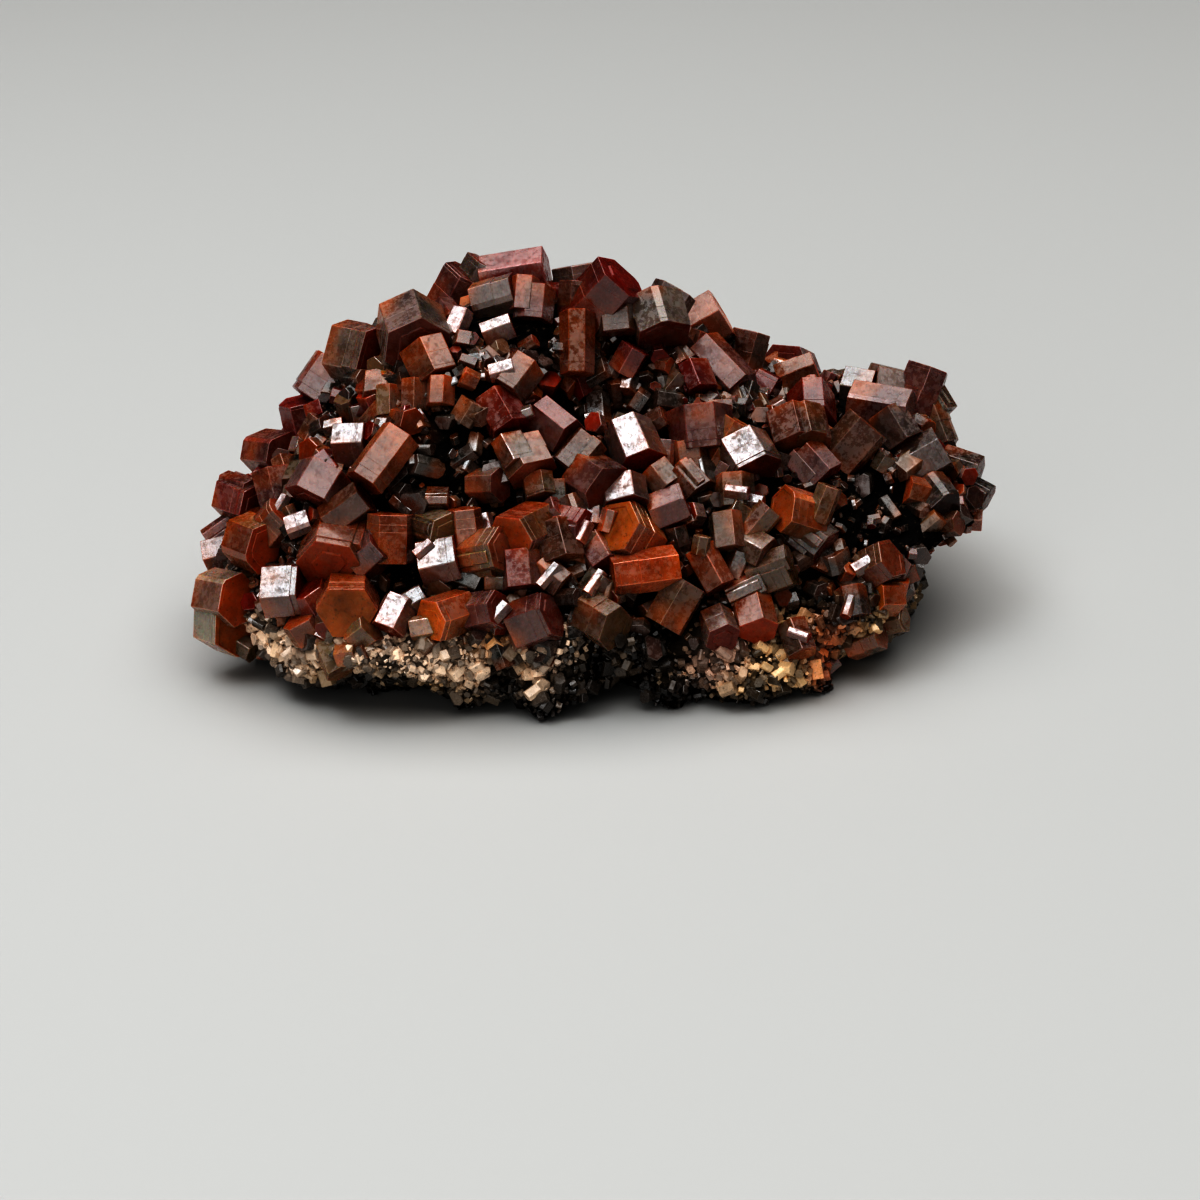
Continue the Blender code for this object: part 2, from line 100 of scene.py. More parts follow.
class Crystal(NamedTuple):
    """One crystal of the display side.

    px, py: the pixel of its middle. width, length: millimetres across two opposite faces and from end to
    end. turn: degrees in the picture from right, counter-clockwise, to where its axis points. face: degrees
    that the axis leans out of the picture. roll: degrees about the axis, 0 with a prism face nearest. Where
    face is None, a prism face throws the light at the viewer: the axis lies across the gleam's direction, and
    roll counts from the pose in which the face looks along it.
    """

    px: float
    py: float
    width: float
    length: float
    turn: float
    face: float | None
    roll: float
    look: Look


CREST = (
    Crystal(325, 384, 3.3, 3.0, 235, 5, 12, Look.MAUVE),
    Crystal(360, 354, 3.9, 3.0, -15, 37, 0, Look.GREY),
    Crystal(414, 335, 4.3, 3.5, -70, 48, 5, Look.GREY),
    Crystal(429, 361, 3.3, 2.3, -65, 15, 30, Look.ORANGE),
    Crystal(389, 401, 1.8, 2.0, -88, 10, 20, Look.BEIGE),
    Crystal(415, 396, 2.0, 2.1, -90, 10, 22, Look.BROWN),
    Crystal(440, 392, 1.8, 1.9, -92, 10, 12, Look.ORANGE),
    Crystal(456, 292, 3.2, 3.2, 60, 20, 20, Look.MAUVE),
    Crystal(478, 280, 3.0, 3.0, 60, 15, 10, Look.GREY),
    Crystal(518, 280, 3.8, 4.4, 8, 8, 16, Look.RED),
    Crystal(497, 298, 2.8, 2.8, 15, 12, -12, Look.GREY),
    Crystal(534, 302, 2.5, 2.1, -95, 10, 0, Look.MAUVE),
    Crystal(499, 330, 1.8, 2.0, 20, None, 0, Look.GLINT),
    Crystal(457, 324, 1.6, 2.1, 70, None, 0, Look.GLINT),
    Crystal(576, 342, 2.2, 4.2, -90, 6, 0, Look.ORANGE),
    Crystal(577, 297, 2.4, 2.1, 85, 5, 8, Look.BROWN),
    Crystal(606, 299, 3.9, 3.8, 45, 25, 10, Look.RED),
    Crystal(579, 279, 3.2, 2.4, 100, 10, 20, Look.GREY),
    Crystal(657, 320, 4.1, 2.8, -75, 25, 20, Look.GREY),
    Crystal(616, 317, 2.6, 2.1, -85, 10, 5, Look.BROWN),
    Crystal(703, 322, 3.5, 3.5, 30, 10, 25, Look.ORANGE),
    Crystal(668, 297, 3.0, 2.6, 60, 0, 0, Look.GREY),
    Crystal(721, 366, 2.8, 4.2, -48, 15, 0, Look.MAUVE),
    Crystal(696, 379, 2.3, 2.1, -70, 20, 20, Look.RED),
    Crystal(752, 344, 2.9, 2.6, 75, 5, 30, Look.BROWN),
    Crystal(629, 359, 1.9, 1.9, 60, 15, 20, Look.RED),
    Crystal(518, 379, 2.5, 2.6, -125, 20, 9, Look.BROWN),
)

LEFT_FLANK = (
    Crystal(300, 416, 2.6, 2.6, 100, 25, 10, Look.RED),
    Crystal(272, 455, 3.3, 2.8, -10, 45, 0, Look.MAUVE),
    Crystal(318, 431, 1.9, 1.8, 60, 10, 20, Look.BROWN),
    Crystal(352, 443, 3.0, 2.1, 2, None, 0, Look.GLINT),
    Crystal(383, 461, 2.6, 4.0, -125, 15, 8, Look.ORANGE),
    Crystal(240, 497, 3.1, 2.6, -20, 40, 10, Look.MAUVE),
    Crystal(274, 487, 2.6, 2.3, -75, 10, 28, Look.MAUVE),
    Crystal(321, 488, 3.9, 2.3, -118, 18, 4, Look.MAUVE),
    Crystal(347, 508, 2.3, 3.0, 35, 10, 15, Look.BROWN),
    Crystal(276, 522, 2.4, 2.3, 45, 30, 0, Look.ORANGE),
    Crystal(299, 525, 1.7, 1.6, 20, None, 3, Look.GLINT),
    Crystal(220, 531, 1.4, 2.3, 35, 0, 12, Look.MAUVE),
    Crystal(224, 553, 2.6, 2.5, 15, None, 4, Look.GLINT),
    Crystal(254, 543, 3.3, 2.8, -20, 42, 5, Look.ORANGE),
    Crystal(286, 590, 3.6, 2.4, 4, None, 2, Look.GLINT),
    Crystal(222, 597, 3.4, 2.8, -10, 45, 0, Look.EMBER),
    Crystal(221, 629, 3.4, 2.6, -15, 48, 15, Look.EMBER),
    Crystal(350, 604, 3.6, 3.0, -80, 70, 0, Look.AMBER),
    Crystal(333, 549, 4.0, 3.0, -100, 50, 0, Look.ORANGE),
    Crystal(390, 536, 2.8, 3.0, 88, 8, 12, Look.ORANGE),
    Crystal(371, 553, 2.4, 2.1, 40, 20, 5, Look.MAUVE),
)

FRONT = (
    Crystal(441, 562, 3.1, 2.5, 12, None, 6, Look.GLINT),
    Crystal(395, 615, 2.1, 2.3, 65, None, 5, Look.GLINT),
    Crystal(412, 604, 1.8, 2.1, 30, None, 6, Look.GLINT),
    Crystal(446, 616, 2.8, 2.6, -160, 42, 10, Look.AMBER),
    Crystal(426, 626, 1.5, 1.8, 10, 10, 0, Look.BEIGE),
    Crystal(464, 527, 2.3, 2.5, 95, 10, 2, Look.ORANGE),
    Crystal(438, 528, 2.4, 2.5, -20, 50, 10, Look.OLIVE),
    Crystal(523, 532, 3.4, 3.0, -150, 48, 0, Look.ORANGE),
    Crystal(552, 518, 2.0, 1.9, 40, 20, 10, Look.MAUVE),
    Crystal(574, 526, 2.5, 2.1, -10, 30, 20, Look.RED),
    Crystal(494, 553, 3.2, 2.5, 8, 40, 10, Look.BEIGE),
    Crystal(558, 545, 3.0, 2.6, -75, 18, 20, Look.BROWN),
    Crystal(522, 571, 2.6, 2.5, -85, 12, 10, Look.MAUVE),
    Crystal(552, 576, 2.2, 2.1, -40, 10, 30, Look.BROWN),
    Crystal(495, 581, 1.3, 1.4, 0, 0, 15, Look.OLIVE),
    Crystal(595, 518, 1.6, 1.6, 90, None, 0, Look.GLINT),
    Crystal(575, 508, 1.8, 1.6, -70, 20, 28, Look.OLIVE),
    Crystal(627, 533, 3.4, 2.8, 150, 50, 0, Look.AMBER),
    Crystal(643, 572, 3.0, 4.4, 188, 12, 0, Look.AMBER),
    Crystal(600, 555, 2.2, 2.1, -60, 30, 10, Look.MAUVE),
    Crystal(581, 543, 1.8, 2.1, 70, 5, 18, Look.BEIGE),
    Crystal(594, 585, 1.8, 1.9, 55, 5, 30, Look.OLIVE),
    Crystal(484, 611, 2.7, 2.5, 10, 35, 5, Look.MAUVE),
    Crystal(498, 620, 1.6, 1.6, -50, None, 5, Look.GLINT),
    Crystal(538, 621, 3.1, 2.4, 20, 25, 12, Look.MAUVE),
    Crystal(604, 621, 3.0, 2.3, -30, 35, 20, Look.OLIVE),
    Crystal(587, 603, 1.7, 1.8, 80, 0, 5, Look.BROWN),
    Crystal(675, 603, 2.6, 3.2, 60, 0, 20, Look.OLIVE),
    Crystal(527, 461, 3.1, 2.3, -62, 26, 30, Look.BROWN),
    Crystal(490, 486, 2.1, 1.9, 0, 35, 0, Look.GREY),
    Crystal(438, 500, 1.5, 1.5, 0, 5, 4, Look.BROWN),
    Crystal(503, 414, 2.6, 2.5, -60, 20, 12, Look.RED),
    Crystal(554, 428, 3.0, 2.8, -40, 20, 30, Look.MAUVE),
    Crystal(577, 453, 2.1, 2.6, -130, 10, 10, Look.BROWN),
    Crystal(540, 487, 2.0, 1.6, -80, 20, 21, Look.OLIVE),
    Crystal(598, 484, 3.6, 2.5, -35, 45, 0, Look.MAUVE),
    Crystal(623, 495, 2.9, 1.9, -82, None, 5, Look.GLINT),
    Crystal(632, 447, 3.2, 3.2, 111, None, 0, Look.GLINT),
    Crystal(670, 507, 2.7, 2.3, 21, 5, 16, Look.MAUVE),
    Crystal(661, 478, 2.2, 1.8, -50, 10, 30, Look.BROWN),
    Crystal(687, 483, 2.5, 2.1, -50, 12, 28, Look.BROWN),
    Crystal(700, 427, 3.9, 2.6, -84, 5, 2, Look.MAUVE),
    Crystal(689, 456, 2.2, 1.9, -84, 5, 4, Look.ORANGE),
    Crystal(665, 453, 1.7, 1.8, 85, 0, 0, Look.MAUVE),
    Crystal(728, 440, 2.7, 3.0, 60, 10, 10, Look.AMBER),
    Crystal(655, 423, 1.8, 1.9, 30, 20, 15, Look.BROWN),
)

RIGHT_SIDE = (
    Crystal(800, 375, 2.5, 2.6, 20, 10, 20, Look.ORANGE),
    Crystal(765, 386, 1.8, 1.8, -30, 20, 0, Look.RED),
    Crystal(811, 407, 3.3, 2.6, -90, 38, 0, Look.RED),
    Crystal(776, 412, 1.6, 1.8, 30, 5, 0, Look.BROWN),
    Crystal(860, 388, 3.0, 2.2, 168, None, 0, Look.GLINT),
    Crystal(889, 389, 3.5, 3.2, 168, 10, 20, Look.BROWN),
    Crystal(882, 409, 3.4, 4.2, -12, 20, 20, Look.MAUVE),
    Crystal(798, 433, 4.1, 2.6, -80, 30, 26, Look.BROWN),
    Crystal(815, 465, 2.6, 2.5, -50, 15, 20, Look.MAUVE),
    Crystal(853, 441, 2.9, 3.2, 50, 10, 10, Look.BROWN),
    # The dark brown and near black crystals of the right side paint in its shade
    Crystal(895, 428, 2.9, 2.6, -60, 12, 30, Look.DUSK),
    Crystal(935, 426, 2.6, 3.0, -70, 10, 25, Look.OLIVE),
    Crystal(932, 374, 3.2, 2.8, 70, 5, 20, Look.MAUVE),
    Crystal(934, 396, 3.0, 2.6, -60, 10, 5, Look.OLIVE),
    Crystal(928, 458, 3.0, 2.6, 30, 10, 8, Look.DUSK),
    Crystal(962, 470, 2.5, 2.5, -20, 20, 10, Look.DUSK),
    Crystal(978, 491, 1.9, 2.1, -30, 20, 10, Look.DUSK),
    Crystal(938, 497, 2.5, 2.3, -60, 40, 20, Look.SOOTY),
    Crystal(746, 459, 3.6, 2.6, -62, None, 0, Look.GLINT),
    Crystal(733, 491, 2.6, 2.1, -88, 10, 10, Look.OLIVE),
    Crystal(798, 514, 3.1, 2.8, 165, 30, 12, Look.AMBER),
    Crystal(812, 538, 2.6, 2.5, -40, 20, 10, Look.GREY),
    Crystal(726, 532, 2.2, 2.5, -85, 14, 18, Look.OLIVE),
    Crystal(738, 515, 1.9, 1.9, 150, 20, 10, Look.OLIVE),
    Crystal(758, 520, 2.0, 2.3, 50, 5, 30, Look.BROWN),
    Crystal(755, 549, 2.5, 2.1, -30, 25, 20, Look.OLIVE),
    Crystal(711, 570, 2.1, 2.8, -62, 12, 24, Look.ORANGE),
    Crystal(738, 563, 1.7, 1.8, 70, 10, 0, Look.GREY),
    Crystal(772, 571, 2.9, 2.8, 20, 20, 20, Look.OLIVE),
    Crystal(746, 588, 1.8, 2.5, 25, 5, 5, Look.GREY),
    Crystal(755, 617, 2.6, 2.5, -80, 40, 16, Look.ORANGE),
    Crystal(719, 629, 2.3, 2.1, -70, 50, 5, Look.GREY),
    Crystal(797, 641, 2.3, 2.1, -70, 20, 28, Look.BROWN),
    Crystal(877, 566, 2.7, 2.6, 30, 35, 20, Look.BROWN),
    Crystal(852, 602, 1.9, 2.1, -80, 10, 10, Look.DUSK),
    Crystal(868, 640, 2.1, 2.1, 20, 30, 10, Look.OLIVE),
    Crystal(892, 620, 1.9, 1.9, 10, 30, 25, Look.OLIVE),
)

# Small crystals of the display side that are too slight for the solids
SMALL_SEEN = (
    Crystal(318, 442, 1.3, 1.8, 85, None, 0, Look.GLINT),
    Crystal(383, 377, 1.5, 1.8, 40, None, 2, Look.GLINT),
    Crystal(527, 412, 0.9, 1.0, 20, 10, 5, Look.GLINT),
    Crystal(596, 419, 1.0, 1.1, 10, 10, 5, Look.GREY),
    Crystal(325, 632, 1.2, 1.3, 60, None, 3, Look.GLINT),
    Crystal(327, 436, 0.9, 1.9, 88, 0, 10, Look.BEIGE),
    Crystal(264, 644, 1.6, 1.6, 20, 20, 15, Look.BEIGE),
    Crystal(245, 648, 1.4, 1.6, -30, 20, 20, Look.OLIVE),
    Crystal(258, 626, 1.6, 1.8, -70, 15, 5, Look.GREY),
    Crystal(331, 658, 1.8, 2.6, -65, 20, 10, Look.BEIGE),
    Crystal(364, 634, 1.9, 1.6, 35, 30, 20, Look.BEIGE),
    Crystal(348, 653, 1.5, 1.4, 10, 20, 20, Look.BEIGE),
    Crystal(860, 566, 1.2, 1.3, 30, None, 0, Look.GLINT),
    Crystal(825, 502, 1.6, 2.4, 70, 10, 10, Look.OLIVE),
    Crystal(500, 370, 1.2, 1.6, 15, None, 0, Look.GLINT),
    Crystal(400, 418, 1.0, 1.5, -50, None, 0, Look.GLINT),
    Crystal(595, 418, 0.9, 1.1, 12, None, 3, Look.GLINT),
    Crystal(485, 526, 1.1, 1.6, -75, None, 0, Look.GLINT),
    Crystal(423, 549, 0.8, 1.4, 40, None, 0, Look.GLINT),
    Crystal(547, 577, 0.8, 1.8, 50, None, 2, Look.GLINT),
    Crystal(594, 583, 0.8, 1.8, 55, None, 0, Look.GLINT),
    Crystal(500, 613, 0.9, 1.6, 48, None, 0, Look.GLINT),
    Crystal(583, 533, 0.9, 1.5, 65, None, 0, Look.GLINT),
    Crystal(737, 492, 0.9, 1.6, -8, None, 0, Look.GLINT),
    Crystal(752, 500, 0.9, 1.8, -12, None, 0, Look.GLINT),
    Crystal(800, 634, 0.8, 1.4, -20, None, 0, Look.GLINT),
    Crystal(848, 607, 0.8, 1.5, 70, None, 2, Look.GLINT),
    Crystal(864, 634, 0.8, 1.2, 50, None, 0, Look.GLINT),
    Crystal(831, 668, 0.8, 1.4, 40, None, 0, Look.GLINT),
    Crystal(280, 506, 0.8, 1.8, 62, None, 0, Look.GLINT),
    Crystal(478, 352, 1.2, 1.6, -50, 15, 10, Look.OLIVE),
    Crystal(530, 344, 1.0, 1.1, 30, 20, 10, Look.BROWN),
    Crystal(672, 385, 1.6, 2.2, 50, 10, 15, Look.OLIVE),
    Crystal(608, 520, 1.1, 1.5, 75, 5, 0, Look.ORANGE),
    Crystal(700, 545, 1.2, 1.3, 80, 10, 10, Look.OLIVE),
)


class Patch(NamedTuple):
    """A stain of the matrix: the pixel of its middle, its reach in millimetres, colour and strength."""

    px: float
    py: float
    reach: float
    colour: Tint
    strength: float


TAN = (0.53, 0.42, 0.33)
SAND = (0.86, 0.68, 0.50)
ROSE_TAN = (0.50, 0.35, 0.28)
OCHRE = (0.80, 0.38, 0.06)
OLIVE_TAN = (0.36, 0.26, 0.155)
RUST = (0.36, 0.085, 0.012)
SOOT = (0.007, 0.005, 0.0042)

PATCHES = (
    Patch(640, 402, 2.2, OLIVE_TAN, 1.0),
    Patch(668, 382, 1.5, RUST, 0.9),
    Patch(448, 643, 2.6, SAND, 1.0),
    Patch(420, 655, 2.4, TAN, 0.9),
    Patch(484, 640, 1.5, OCHRE, 1.0),
    Patch(550, 662, 2.4, TAN, 0.8),
    Patch(470, 655, 2.6, TAN, 0.9),
    Patch(265, 648, 2.4, TAN, 0.9),
    Patch(300, 650, 2.0, TAN, 0.8),
    Patch(330, 640, 1.8, TAN, 0.9),
    Patch(232, 640, 2.0, TAN, 0.9),
    Patch(360, 648, 2.0, TAN, 0.8),
    Patch(385, 455, 1.3, OCHRE, 0.7),
    Patch(410, 434, 1.6, RUST, 0.9),
    Patch(710, 470, 1.4, RUST, 0.9),
    Patch(790, 655, 2.6, OLIVE_TAN, 0.9),
    Patch(735, 665, 2.4, OLIVE_TAN, 0.7),
    Patch(830, 650, 2.4, RUST, 0.5),
    Patch(870, 640, 2.6, OLIVE_TAN, 0.9),
    Patch(730, 560, 2.6, OLIVE_TAN, 0.7),
    Patch(722, 648, 1.8, ROSE_TAN, 0.9),
    Patch(700, 670, 1.8, ROSE_TAN, 0.7),
    Patch(298, 676, 2.2, SOOT, 1.0),
    Patch(322, 690, 2.4, SOOT, 1.0),
    Patch(500, 690, 1.8, SOOT, 0.9),
    Patch(640, 680, 3.4, SOOT, 0.9),
    Patch(580, 690, 2.6, SOOT, 0.9),
    Patch(610, 655, 1.8, SOOT, 0.8),
    Patch(690, 700, 1.6, SOOT, 0.9),
    Patch(765, 700, 1.6, SOOT, 0.8),
)

# Hollows where next to nothing grows: pixel of the middle, and reach in millimetres
BARE = (
    (470, 440, 3.2), (455, 480, 3.2), (500, 500, 2.6), (560, 385, 2.2), (622, 378, 2.8), (650, 400, 2.2),
    (850, 500, 3.2), (880, 520, 3.4), (830, 560, 2.6), (410, 500, 2.6), (900, 540, 2.6), (690, 640, 1.8),
    (400, 590, 1.8), (760, 430, 1.6), (470, 590, 1.4), (536, 338, 1.8),
)

# Bites out of the foot: pixel of the middle, reach and depth in millimetres
BITES = (
    (396, 694, 3.6, 4.6), (610, 700, 1.6, 2.2), (642, 712, 1.5, 2.4), (700, 706, 1.7, 2.4),
    (262, 684, 2.2, 1.4), (850, 684, 3.0, 2.4), (505, 706, 1.6, 1.3), (900, 640, 3.0, 1.6),
)


class Value:
    """A number in a shader: arithmetic on it adds Math nodes."""

    def __init__(self, graph: "Graph", socket: bpy.types.NodeSocket) -> None:
        """Keeps the graph that it is in and its socket."""
        self.graph = graph
        self.socket = socket

    def calculate(self, operation: str, *terms: object) -> "Value":
        """A Math node of one operation on these terms."""
        node = self.graph.add("ShaderNodeMath", {"operation": operation}, dict(enumerate(terms)))
        return Value(self.graph, node.outputs[0])

    def __add__(self, other: object) -> "Value":
        """This plus another."""
        return self.calculate("ADD", self, other)

    __radd__ = __add__

    def __sub__(self, other: object) -> "Value":
        """This less another."""
        return self.calculate("SUBTRACT", self, other)

    def __rsub__(self, other: object) -> "Value":
        """Another less this."""
        return self.calculate("SUBTRACT", other, self)

    def __mul__(self, other: object) -> "Value":
        """This times another."""
        return self.calculate("MULTIPLY", self, other)

    __rmul__ = __mul__

    def __truediv__(self, other: object) -> "Value":
        """This over another."""
        return self.calculate("DIVIDE", self, other)

    def clipped(self) -> "Value":
        """This, kept between 0 and 1."""
        return self.calculate("MAXIMUM", self.calculate("MINIMUM", self, 1.0), 0.0)

    def step(self, low: float, high: float) -> "Value":
        """From 0 below low to 1 above high."""
        return ((self - low) / (high - low)).clipped()


class Graph:
    """The node tree of one material."""

    def __init__(self, name: str) -> None:
        """Starts a material whose nodes are only the shader and the output.

        Args:
            name: the material's name.
        """
        self.material = bpy.data.materials.new(name)
        self.material.use_nodes = True
        self.tree = self.material.node_tree
        self.shader = self.tree.nodes["Principled BSDF"]

    def add(self, kind: str, settings: Setting, inputs: dict[str | int, object]) -> bpy.types.Node:
        """Adds a node.

        Args:
            kind: the node's type.
            settings: its properties, set first.
            inputs: values or links of its sockets, by name or number.

        Returns:
            The node.
        """
        node = self.tree.nodes.new(kind)
        for name, value in settings.items():
            setattr(node, name, value)
        for key, value in inputs.items():
            self.put(node.inputs[key], value)
        return node

    def put(self, target: bpy.types.NodeSocket, value: object) -> None:
        """Links a socket or a Value to a socket, or sets a plain number, vector or colour on it.

        Args:
            target: the socket.
            value: what it gets.
        """
        source = value.socket if isinstance(value, Value) else value
        if isinstance(source, bpy.types.NodeSocket):
            self.tree.links.new(source, target)
        else:
            target.default_value = source

    def attribute(self, name: str) -> bpy.types.Node:
        """The node that reads an attribute of the piece."""
        return self.add("ShaderNodeAttribute", {"attribute_name": name}, {})

    def noise(self, place: bpy.types.NodeSocket, scale: float, detail: float, rough: float) -> Value:
        """Cloudy noise.

        Args:
            place: where it is read.
            scale: how many clouds to a unit of place.
            detail: how many finer layers it has.
            rough: how strong the finer layers are.

        Returns:
            The noise, from 0 to 1.
        """
        inputs = {"Vector": place, "Scale": scale, "Detail": detail, "Roughness": rough}
        return Value(self, self.add("ShaderNodeTexNoise", {}, inputs).outputs[0])

    def mix(self, share: object, first: object, second: object) -> bpy.types.NodeSocket:
        """The colour between two colours, at a share of the second."""
        inputs = {0: share, 6: first, 7: second}
        return self.add("ShaderNodeMix", {"data_type": "RGBA"}, inputs).outputs[2]

    def scaled(self, vector: object, factor: object) -> bpy.types.NodeSocket:
        """A vector or colour times a number."""
        settings = {"operation": "SCALE"}
        return self.add("ShaderNodeVectorMath", settings, {"Vector": vector, "Scale": factor}).outputs[0]

    def stretched(self, vector: object, factors: Triple) -> bpy.types.NodeSocket:
        """A vector times another, number by number."""
        settings = {"operation": "MULTIPLY"}
        return self.add("ShaderNodeVectorMath", settings, {0: vector, 1: factors}).outputs[0]

    def bump(self, height: Value, distance: float, strength: float) -> bpy.types.NodeSocket:
        """The normal of a surface raised by a height of 0 to 1 times a distance in metres."""
        inputs = {"Height": height, "Distance": distance, "Strength": strength}
        return self.add("ShaderNodeBump", {}, inputs).outputs[0]


@dataclass(frozen=True)
class CrystalFinish:
    """Vanadinite: a very bright lustre over a translucent body, with clouds, pits, dust and growth lines, an
    orange glow painted towards each crystal's root and shade painted into its pits.

    A noise is given by its scale, detail and roughness, and a step by where it starts and where it ends.
    """

    name: str = "vanadinite_sides"
    index: float = 2.15
    glow: float = 0.5
    glow_reach: float = 0.7 * MM
    glow_colours: Tint = (1.0, 0.22, 0.05)
    dust: Colour = (0.26, 0.175, 0.145, 1.0)
    # Near black painted into the pits: painted shade
    pit: Colour = (0.030, 0.012, 0.008, 1.0)
    # Orange painted towards each crystal's root: a painted glow of light through the body
    root: Colour = (0.49, 0.135, 0.014, 1.0)
    root_most: float = 0.75
    veil: Colour = (0.225, 0.134, 0.104, 1.0)
    veil_most: float = 0.55
    dust_most: float = 0.38
    dull: float = 0.20
    polish_gain: float = 0.17
    relief: float = 0.04 * MM
    cloud_noise: Triple = (0.5, 2.5, 0.55)
    grain_noise: Triple = (5.5, 4.0, 0.65)
    speck_noise: Triple = (2.6, 4.0, 0.75)
    pit_noise: Triple = (3.4, 3.0, 0.8)
    root_noise: Triple = (0.32, 1.5, 0.55)
    veil_noise: Triple = (0.5, 3.0, 0.55)
    wear_noise: Triple = (1.1, 3.0, 0.6)
    wave_noise: Triple = (0.45, 1.0, 0.55)
    line_noise: Triple = (1.0, 2.0, 0.55)
    line_stretch: Triple = (0.25, 0.25, 7.0)
    shade_shares: Triple = (1.9, 0.5, 0.3)
    height_shares: tuple[float, float, float, float] = (0.10, 0.05, 0.12, 0.15)
    dust_step: Pair = (0.46, 0.66)
    dust_polish: float = 0.7
    pit_step: Pair = (0.60, 0.65)
    pit_most: float = 0.5
    root_break: float = 3.0
    root_step: Pair = (0.45, 1.1)
    clean_most: float = 0.6
    veil_break: float = 2.6
    veil_step: Pair = (0.2, 1.2)
    speck_wear_step: Pair = (0.48, 0.60)
    speck_wear: float = 0.30
    wear_step: Pair = (0.50, 0.62)
    wear: float = 0.20
    grain_dull: float = 0.18
    dust_dull: float = 0.5

    def material(self) -> bpy.types.Material:
        """Builds the material: the attributes stain, polish and grown carry what differs by crystal.

        Returns:
            The material.
        """
        graph = Graph(self.name)
        stain = graph.attribute("stain").outputs["Color"]
        polish = Value(graph, graph.attribute("polish").outputs["Fac"])
        grown = graph.attribute("grown").outputs["Vector"]
        cloud = graph.noise(grown, *self.cloud_noise)
        grain = graph.noise(grown, *self.grain_noise)
        speck = graph.noise(grown, *self.speck_noise)
        lines = graph.noise(graph.stretched(grown, self.line_stretch), *self.line_noise)
        by_cloud, by_grain, by_line = self.shade_shares
        shade = cloud * by_cloud + (grain - 0.5) * by_grain + (lines - 0.5) * by_line
        dusty = speck.step(*self.dust_step) * (1.0 - polish * self.dust_polish) * self.dust_most
        # The pits: sunk by the bump, and painted dark as their shade
        pits_sunk_and_shaded = graph.noise(grown, *self.pit_noise).step(*self.pit_step) * self.pit_most
        depth = Value(graph, graph.attribute("depth").outputs["Fac"])
        # Painted glow: orange mixed in towards the root, with a ragged noise edge
        ragged = (graph.noise(grown, *self.root_noise) - 0.5) * self.root_break
        root_glow = (1.0 - depth + ragged).step(*self.root_step) * self.root_most
        clean = 1.0 - polish * polish * self.clean_most
        body = graph.scaled(graph.mix(root_glow * clean, stain, self.root), shade)
        torn = (graph.noise(grown, *self.veil_noise) - 0.5) * self.veil_break
        veiled = (depth + torn).step(*self.veil_step) * self.veil_most
        colour = graph.mix(dusty, graph.mix(veiled * clean, body, self.veil), self.dust)
        graph.put(graph.shader.inputs["Base Color"], graph.mix(pits_sunk_and_shaded, colour, self.pit))
        worn = speck.step(*self.speck_wear_step) * self.speck_wear
        worn = worn + graph.noise(grown, *self.wear_noise).step(*self.wear_step) * self.wear
        dullness = self.dull - polish * self.polish_gain + (grain - 0.5) * self.grain_dull
        dullness = dullness + dusty * self.dust_dull + worn
        graph.put(graph.shader.inputs["Roughness"], dullness.clipped())
        grainy, lined, specked, sunk = self.height_shares
        height = graph.noise(grown, *self.wave_noise) + grain * grainy + lines * lined + speck * specked
        height = height - pits_sunk_and_shaded * sunk
        graph.put(graph.shader.inputs["Normal"], graph.bump(height, self.relief, 1.0))
        graph.shader.inputs["IOR"].default_value = self.index
        graph.shader.inputs["Subsurface Weight"].default_value = self.glow
        graph.shader.inputs["Subsurface Scale"].default_value = self.glow_reach
        graph.shader.inputs["Subsurface Radius"].default_value = self.glow_colours
        return graph.material


@dataclass(frozen=True)
class MatrixFinish:
    """Matrix: dull, grainy iron and manganese oxides, black above and stained tan along the foot.

    A noise is given by its scale, detail and roughness, and a step by where it starts and where it ends.
    """

    name: str = "matrix_rock"
    rough: float = 0.86
    shine: float = 0.3
    relief: float = 0.10 * MM
    speck: Colour = (0.20, 0.13, 0.075, 1.0)
    cloud_noise: Triple = (700.0, 4.0, 0.7)
    grain_noise: Triple = (2600.0, 4.0, 0.75)
    speck_noise: Triple = (1700.0, 3.0, 0.8)
    speck_step: Pair = (0.61, 0.66)
    speck_most: float = 0.5
    speck_shine: float = 0.45
    least_shade: float = 0.15
    shade_gain: float = 2.38
    height_share: float = 0.6
    bump_strength: float = 0.8

    def material(self) -> bpy.types.Material:
        """Builds the material: the attribute stain carries the colour, and noise breaks it up.

        Returns:
            The material.
        """
        graph = Graph(self.name)
        stain = graph.attribute("stain").outputs["Color"]
        place = graph.add("ShaderNodeTexCoord", {}, {}).outputs["Object"]
        cloud = graph.noise(place, *self.cloud_noise)
        grain = graph.noise(place, *self.grain_noise)
        specks = graph.noise(place, *self.speck_noise).step(*self.speck_step)
        shaded = graph.scaled(stain, self.least_shade + cloud * grain * self.shade_gain)
        graph.put(graph.shader.inputs["Base Color"], graph.mix(specks * self.speck_most, shaded, self.speck))
        graph.put(graph.shader.inputs["Roughness"], (self.rough - specks * self.speck_shine).clipped())
        height = (grain + cloud) * self.height_share
        graph.put(graph.shader.inputs["Normal"], graph.bump(height, self.relief, self.bump_strength))
        graph.shader.inputs["Specular IOR Level"].default_value = self.shine
        return graph.material


@dataclass(frozen=True)
class FloorFinish:
    """A plain pale floor."""

    colour: Colour = (0.515, 0.511, 0.497, 1.0)
    rough: float = 0.75

    def material(self) -> bpy.types.Material:
        """Builds the material.

        Returns:
            The material.
        """
        graph = Graph("pale_floor")
        graph.shader.inputs["Base Color"].default_value = self.colour
        graph.shader.inputs["Roughness"].default_value = self.rough
        return graph.material


